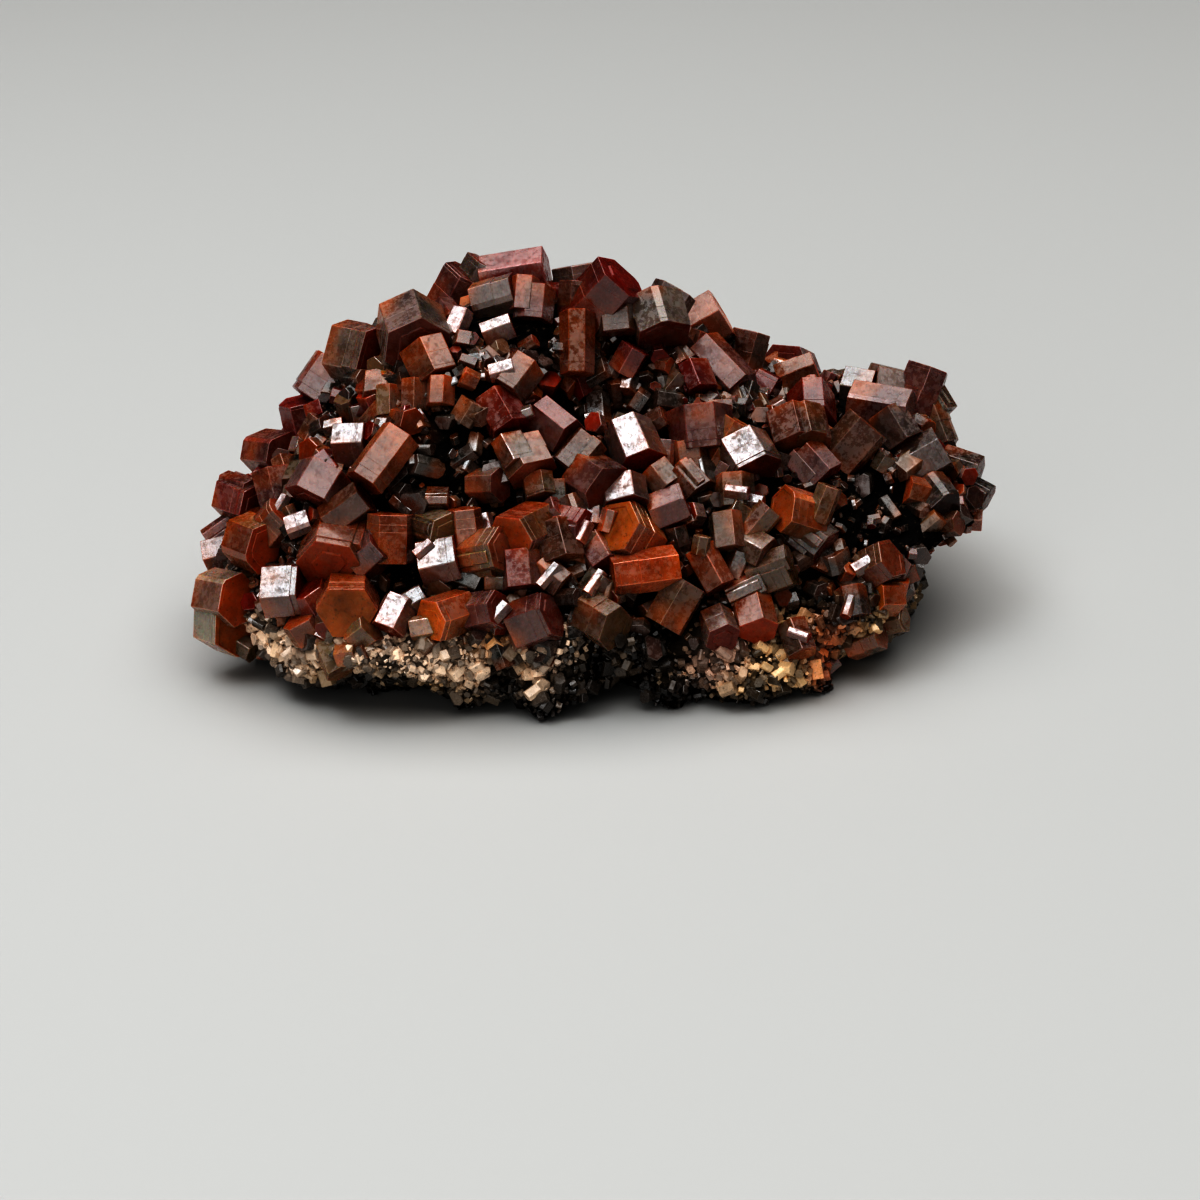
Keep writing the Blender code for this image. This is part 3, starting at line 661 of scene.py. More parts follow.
def piece_from(name: str, points: np.ndarray, corners: np.ndarray, sizes: np.ndarray) -> bpy.types.Object:
    """Puts arrays into a mesh object.

    Args:
        name: the piece's name.
        points: its points, (count, 3).
        corners: the point numbers of all its faces, one after the other.
        sizes: how many corners each face has.

    Returns:
        The object, at the origin.
    """
    mesh = bpy.data.meshes.new(name)
    mesh.vertices.add(len(points))
    mesh.vertices.foreach_set("co", np.ascontiguousarray(points, dtype=np.float32).ravel())
    mesh.loops.add(len(corners))
    mesh.loops.foreach_set("vertex_index", corners.astype(np.int32))
    mesh.polygons.add(len(sizes))
    starts = np.concatenate([[0], np.cumsum(sizes)[:-1]]).astype(np.int32)
    mesh.polygons.foreach_set("loop_start", starts)
    mesh.update(calc_edges=True)
    mesh.shade_flat()
    piece = bpy.data.objects.new(name, mesh)
    bpy.context.scene.collection.objects.link(piece)
    return piece


def give_attribute(piece: bpy.types.Object, name: str, kind: str, where: str, values: np.ndarray) -> None:
    """Adds an attribute to a piece's mesh.

    Args:
        piece: the piece.
        name: the attribute's name.
        kind: FLOAT, FLOAT_VECTOR or FLOAT_COLOR.
        where: POINT or FACE.
        values: one row for each point or face.
    """
    slot = {"FLOAT": "value", "FLOAT_VECTOR": "vector", "FLOAT_COLOR": "color"}[kind]
    made = piece.data.attributes.new(name, kind, where)
    made.data.foreach_set(slot, np.ascontiguousarray(values, dtype=np.float32).ravel())


def lattice_noise(points: np.ndarray, size: float, seed: int) -> np.ndarray:
    """Smooth noise: random numbers on a cubic lattice, blended between its corners by 3t² − 2t³.

    Args:
        points: where it is read, (..., 3).
        size: the lattice's pitch.
        seed: which noise.

    Returns:
        Values from -1 to 1.
    """
    table = np.random.default_rng(seed).uniform(-1, 1, (LATTICE, LATTICE, LATTICE))
    cell = np.floor(points / size).astype(int)
    part = points / size - cell
    part = part * part * (3 - 2 * part)
    total = np.zeros(points.shape[:-1])
    for corner in np.ndindex(2, 2, 2):
        weight = np.prod(np.where(np.array(corner) == 1, part, 1 - part), axis=-1)
        at = (cell + corner) % LATTICE
        total += weight * table[at[..., 0], at[..., 1], at[..., 2]]
    return total


def grain_noise(points: np.ndarray, size: float, seed: int) -> np.ndarray:
    """A heap of blocky grains: 1 less the largest of the three distances to the nearest scattered middle.

    Args:
        points: where it is read, (..., 3).
        size: the grains' pitch.
        seed: which heap.

    Returns:
        Values from 0 in the joints to 1 on the grains.
    """
    middles = np.random.default_rng(seed).uniform(0.15, 0.85, (LATTICE, LATTICE, LATTICE, 3))
    cell = np.floor(points / size).astype(int)
    part = points / size - cell
    nearest = np.full(points.shape[:-1], 9.0)
    for offset in np.ndindex(3, 3, 3):
        step = np.array(offset) - 1
        at = (cell + step) % LATTICE
        away = step + middles[at[..., 0], at[..., 1], at[..., 2]] - part
        nearest = np.minimum(nearest, np.abs(away).max(axis=-1))
    return np.clip(1 - nearest, 0, 1)


@dataclass(frozen=True)
class Sight:
    """The viewer's eye: it looks at the foot point, which shows at foot_px in a square picture."""

    distance: float = 157.8 * MM
    elevation: float = math.radians(26.35)
    focal_px: float = 2150.0
    foot_px: Pair = (602.0, 614.5)
    picture_px: float = 1200.0
    foot: Triple = (-0.16 * MM, -0.53 * MM, 0.0)

    def axes(self) -> tuple[Vector, Vector, Vector]:
        """The picture's right, up and towards-the-viewer directions."""
        c, s = math.cos(self.elevation), math.sin(self.elevation)
        return Vector((1, 0, 0)), Vector((0, s, c)), Vector((0, -c, s))

    def line(self, px: float, py: float) -> tuple[Vector, Vector]:
        """The sight line through a pixel.

        Args:
            px: the pixel's column.
            py: the pixel's row.

        Returns:
            The eye, and the direction from it.
        """
        right, up, near = self.axes()
        across, down = px - self.foot_px[0], py - self.foot_px[1]
        ray = (right * across - up * down) / self.focal_px - near
        return Vector(self.foot) + near * self.distance, ray.normalized()

    def camera(self) -> None:
        """Makes the scene's camera stand where the eye is."""
        near = self.axes()[2]
        lens = bpy.data.cameras.new("camera")
        lens.sensor_width = 36.0
        lens.lens = self.focal_px / self.picture_px * lens.sensor_width
        lens.shift_x = -(self.foot_px[0] / self.picture_px - 0.5)
        lens.shift_y = self.foot_px[1] / self.picture_px - 0.5
        lens.clip_start = MM
        stand = bpy.data.objects.new("camera", lens)
        stand.location = Vector(self.foot) + near * self.distance
        stand.rotation_euler = (-near).to_track_quat("-Z", "Y").to_euler()
        bpy.context.scene.collection.objects.link(stand)
        bpy.context.scene.camera = stand


class Contour(NamedTuple):
    """One level line of the matrix: its height and its reaches in millimetres, and its turn in degrees."""

    height: float
    left: float
    right: float
    front: float
    back: float
    turn: float


CONTOURS = (
    Contour(0.0, -24.0, 21.0, -14.4, 12.0, 3),
    Contour(2.2, -25.8, 22.2, -15.7, 13.6, 4),
    Contour(5.0, -26.4, 22.0, -15.6, 14.2, 7),
    Contour(6.6, -26.0, 22.8, -14.2, 14.4, 9),
    Contour(8.4, -25.0, 26.6, -12.4, 14.3, 10),
    Contour(11.0, -23.2, 26.0, -10.4, 13.4, 12),
    Contour(13.8, -20.6, 22.8, -7.9, 11.6, 12),
    Contour(15.4, -19.4, 13.0, -6.4, 12.0, 12),
    Contour(18.0, -17.2, 8.6, -3.9, 10.6, 12),
    Contour(20.6, -14.2, 5.2, -1.4, 8.8, 12),
    Contour(22.6, -9.8, 0.8, 1.2, 6.8, 12),
)


@dataclass
class Mound:
    """The matrix: a stack of level lines, each a squared ellipse with lumps, with a flat foot.

    Waves are given by their count, climb, start and size, and relief and grains by their pitch and size, in
    millimetres. So are the heights of the hollow, the calm foot and the tan band.
    """

    sight: Sight
    around: int = 24
    outline_power: float = 2.5
    lump_size: float = 1.0 * MM
    lump_waves: tuple[tuple[int, float, float, float], ...] = ((3, 0.35, 0.9, 0.55), (5, -0.5, 2.1, 0.5),
                                                               (9, 0.8, 4.0, 0.45))
    calm_foot: float = 3.0
    top_rise: float = 0.6 * MM
    hollow_angle: float = math.radians(-76)
    hollow_spread: float = math.radians(24)
    hollow_height: float = 16.5
    hollow_rise: float = 3.6
    hollow_depth: float = 3.6 * MM
    fine_around: int = 520
    fine_levels: int = 150
    fine_foot: int = 14
    fine_top: int = 12
    relief: tuple[Pair, ...] = ((4.2, 0.50), (2.0, 0.30), (1.0, 0.20))
    grains: tuple[Pair, ...] = ((1.15, 0.55), (0.6, 0.32))
    notch_size: float = 6.5 * MM
    notch_rise: float = 1.9 * MM
    notch_top: float = 4.5 * MM
    bite_top: float = 4.6 * MM
    flare: float = 1.5 * MM
    flare_top: float = 2.6 * MM
    flare_size: float = 1.9 * MM
    flare_lumps: Pair = (0.65, 0.6)
    flare_power: float = 0.7
    foot_push: float = 0.6
    grain_level: float = 0.75
    notch_level: float = 0.15
    notch_power: float = 1.5
    rim_start: float = -2.2
    near_surface: float = 0.05 * MM
    seat_reach: float = 45.0 * MM
    seat_gap: float = 0.02 * MM
    seat_stride: float = 0.6
    break_size: float = 1.3 * MM
    tan_wander: float = 3.0
    tan_from: float = 1.2
    tan_rise: float = 1.5
    tan_to: float = 7.0
    tan_fade: float = 2.5
    tan_break: Pair = (1.6, 0.35)
    tan_most: float = 0.55
    patch_rim: float = 1.35
    patch_wander: float = 0.5
    rock_stain: float = 0.30
    seed: int = 52
    tree: BVHTree = field(init=False)
    coarse: tuple[np.ndarray, list[tuple[int, int, int]]] = field(init=False)
    fine: np.ndarray = field(init=False)
    fine_normals: np.ndarray = field(init=False)

    def __post_init__(self) -> None:
        """Works out the plain surface, as the solid has it."""
        self.coarse = self.plain_surface()
        self.tree = BVHTree.FromPolygons([Vector(p) for p in self.coarse[0]], self.coarse[1], epsilon=0.0)

    def level_line(self, height: float, angle: np.ndarray) -> np.ndarray:
        """Points of a level line.

        Formula: half the reach times the sign of the cosine (or sine) times its size to the power 2 / p, plus
        lumps less the hollow along the angle, turned about the foot point.

        Args:
            height: in millimetres.
            angle: the angles of the points.

        Returns:
            The points, (count, 3).
        """
        heights = [contour.height for contour in CONTOURS]
        left, right, front, back, turn = (
            np.interp(height, heights, [contour[k] for contour in CONTOURS]) for k in range(1, 6)
        )
        cosine, sine = np.cos(angle), np.sin(angle)
        power = 2.0 / self.outline_power
        u = (left + right) / 2 * MM + (right - left) / 2 * MM * np.sign(cosine) * np.abs(cosine) ** power
        v = (front + back) / 2 * MM + (back - front) / 2 * MM * np.sign(sine) * np.abs(sine) ** power
        push = self.lumps(angle, height) - self.hollow(angle, height)
        u = u + push * cosine
        v = v + push * sine
        turn = math.radians(turn)
        x = self.sight.foot[0] + u * math.cos(turn) - v * math.sin(turn)
        y = self.sight.foot[1] + u * math.sin(turn) + v * math.cos(turn)
        return np.stack([x, y, np.full(len(angle), height * MM)], axis=1)

    def lumps(self, angle: np.ndarray, height: float) -> np.ndarray:
        """How far a level line bulges or dips: a few sine waves round it, calmer at the foot.

        Args:
            angle: the angles of the points.
            height: in millimetres.

        Returns:
            The push at each angle.
        """
        waves = (s * np.sin(count * angle + climb * height + start)
                 for count, climb, start, s in self.lump_waves)
        return self.lump_size * sum(waves) * min(1.0, 0.4 + 0.6 * height / self.calm_foot)

    def hollow(self, angle: np.ndarray, height: float) -> np.ndarray:
        """How deep the hollow under the crest is: e to the minus of the squared distances from its middle.

        Args:
            angle: the angles of the points.
            height: in millimetres.

        Returns:
            The depth at each angle.
        """
        across = np.angle(np.exp(1j * (angle - self.hollow_angle))) / self.hollow_spread
        upward = (height - self.hollow_height) / self.hollow_rise
        return self.hollow_depth * np.exp(-(across**2) - upward**2)

    def plain_surface(self) -> tuple[np.ndarray, list[tuple[int, int, int]]]:
        """The solid's own surface.

        Returns:
            Its points and its triangles.
        """
        angle = np.arange(self.around) * math.tau / self.around
        rings = [self.level_line(contour.height, angle) for contour in CONTOURS]
        foot = rings[0].mean(axis=0)
        top = rings[-1].mean(axis=0) + np.array([0.0, 0.0, self.top_rise])
        points = np.concatenate([*rings, foot[None], top[None]])
        faces = []
        for level in range(len(rings) - 1):
            for k in range(self.around):
                a, b = level * self.around + k, level * self.around + (k + 1) % self.around
                faces.append((a, b, b + self.around))
                faces.append((a, b + self.around, a + self.around))
        last = (len(rings) - 1) * self.around
        for k in range(self.around):
            faces.append(((k + 1) % self.around, k, len(points) - 2))
            faces.append((last + k, last + (k + 1) % self.around, len(points) - 1))
        return points, faces

    def distance(self, point: Vector) -> tuple[float, Vector]:
        """Signed distance from the plain surface, and the outward direction there.

        Args:
            point: the point.

        Returns:
            The distance, below zero inside, and the direction.
        """
        near, normal, _, gap = self.tree.find_nearest(point)
        away = point - near
        sign = 1.0 if away.dot(normal) >= 0 else -1.0
        outward = away.normalized() * sign if gap > self.near_surface else normal
        return sign * gap, outward

    def seat(self, px: float, py: float, proud: float) -> tuple[Vector, float]:
        """Where a pixel's sight line comes down to a height over the surface, or passes nearest.

        Args:
            px: the pixel's column.
            py: the pixel's row.
            proud: the height over the surface.

        Returns:
            The point, and by how much it misses that height.
        """
        eye, ray = self.sight.line(px, py)
        at, best = self.sight.distance - self.seat_reach, None
        while at < self.sight.distance + self.seat_reach:
            point = eye + ray * at
            gap = self.distance(point)[0] - proud
            if best is None or gap < best[0]:
                best = (gap, point)
            if gap < self.seat_gap:
                break
            at += max(self.seat_stride * gap, self.near_surface)
        return best[1], best[0]

    def fine_grid(self) -> np.ndarray:
        """The level lines close together, with rings that close the foot and the top.

        Returns:
            The points, (rings, points of a ring, 3), from the middle of the foot to the top.
        """
        angle = np.arange(self.fine_around) * math.tau / self.fine_around
        levels = np.linspace(0.0, CONTOURS[-1].height, self.fine_levels)
        walls = np.stack([self.level_line(height, angle) for height in levels])
        foot, top = walls[0].mean(axis=0), walls[-1].mean(axis=0) + np.array([0.0, 0.0, self.top_rise])
        inward = np.linspace(0.02, 1.0, self.fine_foot, endpoint=False)[:, None, None]
        under = foot + (walls[0] - foot) * inward
        share = np.linspace(1.0, 0.02, self.fine_top + 1)[1:, None, None]
        over = top + (walls[-1] - top) * share
        return np.concatenate([under, walls, over])

    def normals(self, grid: np.ndarray) -> np.ndarray:
        """Outward normals of a grid of rings: the cross product of its steps along and up.

        Args:
            grid: the points, (rings, points of a ring, 3).

        Returns:
            The normals, as many.
        """
        along = np.roll(grid, -1, axis=1) - np.roll(grid, 1, axis=1)
        upward = np.gradient(grid, axis=0)
        normal = np.cross(along, upward)
        return normal / np.maximum(np.linalg.norm(normal, axis=-1, keepdims=True), 1e-12)

    def notches(self, grid: np.ndarray) -> np.ndarray:
        """How far the broken rim of the foot stands off the ground: noise, cut off below zero.

        Args:
            grid: the points, (rings, points of a ring, 3).

        Returns:
            The lift at each point.
        """
        flat = grid * np.array([1.0, 1.0, 0.0])
        noise = lattice_noise(flat, self.notch_size, self.seed)
        return np.clip(noise + self.notch_level, 0, 1) * self.notch_rise

    def bites(self, grid: np.ndarray) -> np.ndarray:
        """How far the foot is broken away inward: a bell curve about each bite, less the higher up.

        Args:
            grid: the points, (rings, points of a ring, 3).

        Returns:
            The depth at each point, (rings, points of a ring).
        """
        depth = np.zeros(grid.shape[:2])
        for px, py, reach, size in BITES:
            middle = np.array(self.seat(px, py, 0.0)[0])
            away = np.linalg.norm((grid - middle)[..., :2], axis=-1) / (reach * MM)
            depth += size * MM * np.exp(-(away**2))
        return depth * np.clip(1 - grid[..., 2] / self.bite_top, 0, 1)

    def shaped(self) -> np.ndarray:
        """The rough surface: the level lines, pushed along their normals by noise and by blocky grains.

        Returns:
            The points, (rings, points of a ring, 3).
        """
        grid = self.fine_grid()
        normal = self.normals(grid)
        wall = np.ones(len(grid))
        wall[: self.fine_foot] = np.linspace(0.0, self.foot_push, self.fine_foot)
        push = np.zeros(grid.shape[:2])
        for k, (pitch, size) in enumerate(self.relief):
            push += size * lattice_noise(grid, pitch * MM, self.seed + k + 1)
        for k, (pitch, size) in enumerate(self.grains):
            push += size * (grain_noise(grid, pitch * MM, self.seed + k + 9) - self.grain_level)
        grid = grid + normal * (push * MM * wall[:, None])[..., None]
        inward = grid.mean(axis=1, keepdims=True) - grid
        inward[..., 2] = 0.0
        inward /= np.maximum(np.linalg.norm(inward, axis=-1, keepdims=True), MM)
        lumps = lattice_noise(grid * np.array([1.0, 1.0, 0.3]), self.flare_size, self.seed + 40)
        lumpy = self.flare_lumps[0] + self.flare_lumps[1] * lumps
        flare = self.flare * lumpy * np.clip(1 - grid[..., 2] / self.flare_top, 0, 1) ** self.flare_power
        grid = grid + inward * ((self.bites(grid) - flare) * wall[:, None])[..., None]
        rim = np.clip(np.linspace(self.rim_start, 1.0, self.fine_foot), 0, 1)
        low = np.concatenate([rim, np.ones(len(grid) - self.fine_foot)])[:, None]
        near_foot = np.clip(1 - grid[..., 2] / self.notch_top, 0, 1) ** self.notch_power
        grid[..., 2] += self.notches(grid) * low * near_foot
        grid[..., 2] = np.maximum(grid[..., 2], 0.0)
        return grid

    def stains(self, points: np.ndarray, most: float) -> np.ndarray:
        """The matrix's colours: soot, tan near the foot, and the patches.

        Args:
            points: where, (..., 3).
            most: how strong the tan and the patches are at most.

        Returns:
            The colours, (..., 3).
        """
        broken = lattice_noise(points, self.break_size, self.seed + 30) * 0.5 + 0.5
        height = points[..., 2] / MM + self.tan_wander * (broken - 0.5)
        tan = np.clip((height - self.tan_from) / self.tan_rise, 0, 1)
        tan = tan * np.clip((self.tan_to - height) / self.tan_fade, 0, 1)
        gain, loss = self.tan_break
        tan = (tan * np.clip(broken * gain - loss, 0, 1) * self.tan_most * most)[..., None]
        colours = np.array(SOOT) * (1 - tan) + np.array(OLIVE_TAN) * tan
        for patch in PATCHES:
            middle = np.array(self.seat(patch.px, patch.py, 0.0)[0])
            away = np.linalg.norm(points - middle, axis=-1) / (patch.reach * MM)
            away = away + self.patch_wander * (broken - 0.5)
            share = (np.clip(self.patch_rim - away, 0, 1) * patch.strength * most)[..., None]
            colours = colours * (1 - share) + np.array(patch.colour) * share
        return colours

    def build(self) -> bpy.types.Object:
        """Makes the matrix's piece.

        Returns:
            The piece.
        """
        grid = self.shaped()
        rings, around = grid.shape[:2]
        middles = np.stack([grid[0].mean(axis=0), grid[-1].mean(axis=0)])
        middles[0, 2] = 0.0
        points = np.concatenate([grid.reshape(-1, 3), middles])
        ring, step = np.meshgrid(np.arange(rings - 1), np.arange(around), indexing="ij")
        a = ring * around + step
        b = ring * around + (step + 1) % around
        quads = np.stack([a, b, b + around, a + around], axis=-1).reshape(-1, 4)
        k = np.arange(around)
        after = (k + 1) % around
        last = (rings - 1) * around
        foot = np.stack([after, k, np.full(around, len(points) - 2)], axis=1)
        top = np.stack([last + k, last + after, np.full(around, len(points) - 1)], axis=1)
        corners = np.concatenate([quads.ravel(), foot.ravel(), top.ravel()])
        sizes = np.concatenate([np.full(len(quads), 4), np.full(2 * around, 3)])
        piece = piece_from("matrix_rock", points, corners, sizes)
        colours = np.concatenate([self.stains(points, self.rock_stain), np.ones((len(points), 1))], axis=1)
        give_attribute(piece, "stain", "FLOAT_COLOR", "POINT", colours)
        piece.data.materials.append(MatrixFinish().material())
        self.fine = grid
        self.fine_normals = self.normals(grid)
        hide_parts("matrix")
        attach(piece, "root")
        return piece


class Detail(Enum):
    """How much shape a crystal has."""

    GROWN = "bevels, growth steps and terraced ends"
    PLAIN = "bevelled edges"
    TINY = "a bare prism"


class Part(Enum):
    """What a face of a crystal belongs to."""

    SIDE = 0
    END = 1
    EDGE = 2


@dataclass
class Prisms:
    """Many crystals as arrays: middles, axes as columns, distances of the six faces, ends and looks."""

    middles: np.ndarray
    axes: np.ndarray
    faces: np.ndarray
    below: np.ndarray
    above: np.ndarray
    looks: np.ndarray

    def __len__(self) -> int:
        """How many crystals there are."""
        return len(self.middles)

    def chosen(self, which: np.ndarray) -> "Prisms":
        """Only some of the crystals."""
        return Prisms(*(getattr(self, name)[which] for name in self.__dataclass_fields__))

    def joined(self, other: "Prisms") -> "Prisms":
        """These crystals and some others."""
        names = self.__dataclass_fields__
        return Prisms(*(np.concatenate([getattr(self, name), getattr(other, name)]) for name in names))

    def corners(self) -> np.ndarray:
        """The twelve corners of each crystal.

        Returns:
            The points, (count, 12, 3).
        """
        inset = np.repeat(self.faces[:, None], 2, axis=1)
        heights = np.stack([-self.below, self.above], axis=1)
        flat = hexagons(inset, heights, np.zeros((len(self), SIDES)))[:, :, ::2]
        return self.placed(flat.reshape(len(self), -1, 3))

    def placed(self, local: np.ndarray) -> np.ndarray:
        """Points of each crystal's own frame, (count, points, 3), in the piece's frame."""
        return self.middles[:, None] + np.einsum("nij,npj->npi", self.axes, local)

    def hide(self, points: np.ndarray, depth: float) -> np.ndarray:
        """Which points lie deeper than a depth inside any crystal.

        Args:
            points: the points, (count, 3).
            depth: how deep, in metres.

        Returns:
            True for each point that does.
        """
        hidden = np.zeros(len(points), bool)
        angle = np.arange(SIDES) * math.tau / SIDES
        for k in range(len(self)):
            local = (points - self.middles[k]) @ self.axes[k]
            out = local[:, :1] * np.cos(angle) + local[:, 1:2] * np.sin(angle) - self.faces[k]
            ends = np.maximum(local[:, 2] - self.above[k], -self.below[k] - local[:, 2])
            hidden |= np.maximum(out.max(axis=1), ends) < -depth
        return hidden


def hexagons(faces: np.ndarray, heights: np.ndarray, bevels: np.ndarray) -> np.ndarray:
    """Cross-sections of hexagonal prisms whose long edges are cut off.

    Formula: face k stands at its distance d along the angle k times 60 degrees, and runs along its tangent
    from (d cos 60 - d before) / sin 60 to (d after - d cos 60) / sin 60, less the bevel at each corner.

    Args:
        faces: the six distances of each ring, (count, rings, 6).
        heights: the height of each ring, (count, rings).
        bevels: how much of each face a corner's bevel takes, (count, 6).

    Returns:
        Two points to a face, (count, rings, 12, 3), counter-clockwise.
    """
    angle = np.arange(SIDES) * math.tau / SIDES
    c, s = math.cos(math.tau / SIDES), math.sin(math.tau / SIDES)
    low = (faces * c - np.roll(faces, 1, axis=2)) / s
    high = (np.roll(faces, -1, axis=2) - faces * c) / s
    middle = (low + high) / 2
    low = np.minimum(low + np.roll(bevels, 1, axis=1)[:, None], middle)
    high = np.maximum(high - bevels[:, None], middle)
    along = np.stack([low, high], axis=-1)
    x = faces[..., None] * np.cos(angle)[:, None] - along * np.sin(angle)[:, None]
    y = faces[..., None] * np.sin(angle)[:, None] + along * np.cos(angle)[:, None]
    z = np.broadcast_to(heights[:, :, None, None], x.shape)
    return np.stack([x, y, z], axis=-1).reshape(*faces.shape[:2], 2 * SIDES, 3)


@dataclass
class Cutter:
    """Turns crystals into a mesh: rings up each crystal, its terraces and its growth steps."""

    random: np.random.Generator
    finishes: tuple[bpy.types.Material, ...]
    edge: Pair = (0.018 * MM, 0.055 * MM)
    wide_edge: Pair = (0.12 * MM, 0.34 * MM)
    wide_share: float = 0.07
    step_share: float = 0.22
    step: Pair = (0.012, 0.05)
    taper: Pair = (-0.01, 0.05)
    terrace_share: float = 0.7
    terrace: Pair = (0.12, 0.45)
    terrace_rise: Pair = (-0.05, 0.07)
    shade_range: Pair = (0.78, 1.22)
    # How much paler the edge bevels are than their sides: a painted highlight along the edges
    paler: float = 1.6
    edge_gloss: float = 0.7
    first_step: Pair = (0.45, 0.7)
    second_step: Pair = (0.78, 0.93)
    step_sides: float = 0.6
    step_slope: float = 0.02 * MM
    flat_rise: float = 0.003
    tilt: Pair = (-0.12, 0.12)
    lip: float = 0.8
    ruddy: float = 0.10
    ruddy_tint: Tint = (0.4, -1.0, -1.2)
    gloss_range: Pair = (-0.2, 0.2)
    pattern_range: Pair = (-60.0, 60.0)

    def rings(self, prisms: Prisms, detail: Detail) -> tuple[np.ndarray, np.ndarray, list[Part]]:
        """The rings of each crystal, from the middle of its hidden end to the middle of its free end.

        Args:
            prisms: the crystals.
            detail: how much shape they get.

        Returns:
            The face distances of each ring, the rings' heights, and what each band between rings is.
        """
        count = len(prisms)
        draw = self.random.uniform
        edge = draw(*self.edge, count)[:, None]
        faces, low, top = prisms.faces, -prisms.below[:, None], prisms.above[:, None]
        width = faces.mean(axis=1, keepdims=True)
        if detail is Detail.TINY:
            return np.stack([faces, faces], axis=1), np.hstack([low, top]), [Part.SIDE]
        if detail is Detail.PLAIN:
            inner = faces - edge
            heights = np.hstack([low, low + edge, top - edge, top])
            return np.stack([inner, faces, faces, inner], axis=1), heights, [Part.EDGE, Part.SIDE, Part.EDGE]
        steps = []
        for _ in range(2):
            grown = (draw(size=(count, 1)) < self.step_share) * (draw(size=(count, SIDES)) < self.step_sides)
            steps.append(grown * draw(*self.step, (count, SIDES)) * width)
        taper = 1 - draw(*self.taper, (count, 1))
        near = faces
        middle = faces * (1 + taper) / 2 - steps[0]
        far = faces * taper - steps[0] - steps[1]
        length = top - low
        first = low + draw(*self.first_step, (count, 1)) * length
        second = low + draw(*self.second_step, (count, 1)) * length
        terraced = draw(size=(count, 1)) < self.terrace_share
        shrink = 1 - np.where(terraced, draw(*self.terrace, (count, 1)), self.terrace[0])
        rise = np.where(terraced, draw(*self.terrace_rise, (count, 1)), self.flat_rise) * width
        tilt = 1 + draw(*self.tilt, (count, SIDES)) * terraced
        inner = (far - edge) * shrink * tilt
        under = (near - edge) * shrink
        lip = np.abs(rise) * self.lip
        faces_up = (under - lip, under, near - edge, near, (near + middle + steps[0]) / 2, middle)
        faces_up += (middle, far, far, far - edge, inner, inner - lip)
        slope = self.step_slope
        heights = (low - rise * 0.5, low, low, low + edge, first, first + slope, second, second + slope)
        heights += (top - edge, top, top, top + rise)
        bands = [Part.END, Part.END, Part.EDGE, Part.SIDE, Part.EDGE, Part.SIDE, Part.EDGE, Part.SIDE]
        bands += [Part.EDGE, Part.END, Part.END]
        return np.stack(faces_up, axis=1), np.hstack(heights), bands

    def stains(self, prisms: Prisms, parts: np.ndarray, sides: np.ndarray) -> tuple[np.ndarray, np.ndarray]:
        """The colour and the polish of every face, with the edge bevels painted paler than their sides as a
        highlight.

        Args:
            prisms: the crystals.
            parts: what each face of a crystal belongs to, (faces).
            sides: which of the six sides it is on, (faces).

        Returns:
            The colours, (count, faces, 4), and the polish, (count, faces).
        """
        looks = list(Look)
        side = np.array([look.value[0] for look in looks])[prisms.looks]
        end = np.array([look.value[1] for look in looks])[prisms.looks]
        polish = np.array([look.value[2] for look in looks])[prisms.looks]
        count = len(prisms)
        shade = self.random.uniform(*self.shade_range, (count, SIDES + 1, 1))
        whole = self.random.uniform(*self.shade_range, (count, 1, 1))
        ruddy = self.random.normal(0.0, self.ruddy, (count, SIDES + 1, 1)) * np.array(self.ruddy_tint)
        table = np.where((parts == Part.END.value)[:, None], end[:, None], side[:, None])
        # Painted highlight: the edge bevels take their side's colour made paler
        table = np.where((parts == Part.EDGE.value)[:, None], side[:, None] * self.paler, table)
        spot = np.where(parts == Part.END.value, SIDES, sides)
        table = table * whole * shade[:, spot] * (1 + ruddy[:, spot])
        gloss = polish[:, None] + self.random.uniform(*self.gloss_range, (count, SIDES + 1))
        gloss = np.clip(gloss, 0, 1)[:, spot]
        gloss = np.where(parts == Part.EDGE.value, self.edge_gloss, gloss)
        return np.concatenate([table, np.ones((*table.shape[:2], 1))], axis=2), gloss

    def cut(self, name: str, prisms: Prisms, detail: Detail) -> bpy.types.Object:
        """Makes one piece of many crystals.

        Args:
            name: the piece's name.
            prisms: the crystals.
            detail: how much shape they get.

        Returns:
            The piece.
        """
        count = len(prisms)
        faces, heights, bands = self.rings(prisms, detail)
        bevels = self.random.uniform(*self.edge, (count, SIDES))
        wide = self.random.uniform(size=(count, SIDES)) < self.wide_share * (detail is Detail.GROWN)
        bevels = np.where(wide, self.random.uniform(*self.wide_edge, (count, SIDES)), bevels)
        if detail is Detail.TINY:
            bevels = np.zeros_like(bevels)
        local = hexagons(faces, heights, bevels)
        around = 2 * SIDES
        if detail is Detail.TINY:
            local, around = local[:, :, ::2], SIDES
        rings = local.shape[1]
        local = local.reshape(count, -1, 3)
        points = prisms.placed(local)
        ring, step = np.meshgrid(np.arange(rings - 1), np.arange(around), indexing="ij")
        a, b = ring * around + step, ring * around + (step + 1) % around
        quads = np.stack([a, b, b + around, a + around], axis=-1).reshape(-1, 4)
        caps = np.stack([np.arange(around)[::-1], np.arange(around) + (rings - 1) * around])
        own = np.concatenate([quads.ravel(), caps.ravel()])
        corners = (own[None] + (np.arange(count) * rings * around)[:, None]).ravel()
        sizes = np.tile(np.concatenate([np.full(len(quads), 4), np.full(2, around)]), count)
        piece = piece_from(name, points.reshape(-1, 3), corners, sizes)
        part = np.repeat([band.value for band in bands], around)
        if detail is not Detail.TINY:
            cut_off = np.tile(np.arange(around) % 2 == 1, rings - 1) & (part == Part.SIDE.value)
            part = np.where(cut_off, Part.EDGE.value, part)
        part = np.concatenate([part, [Part.END.value] * 2])
        per_side = around // SIDES
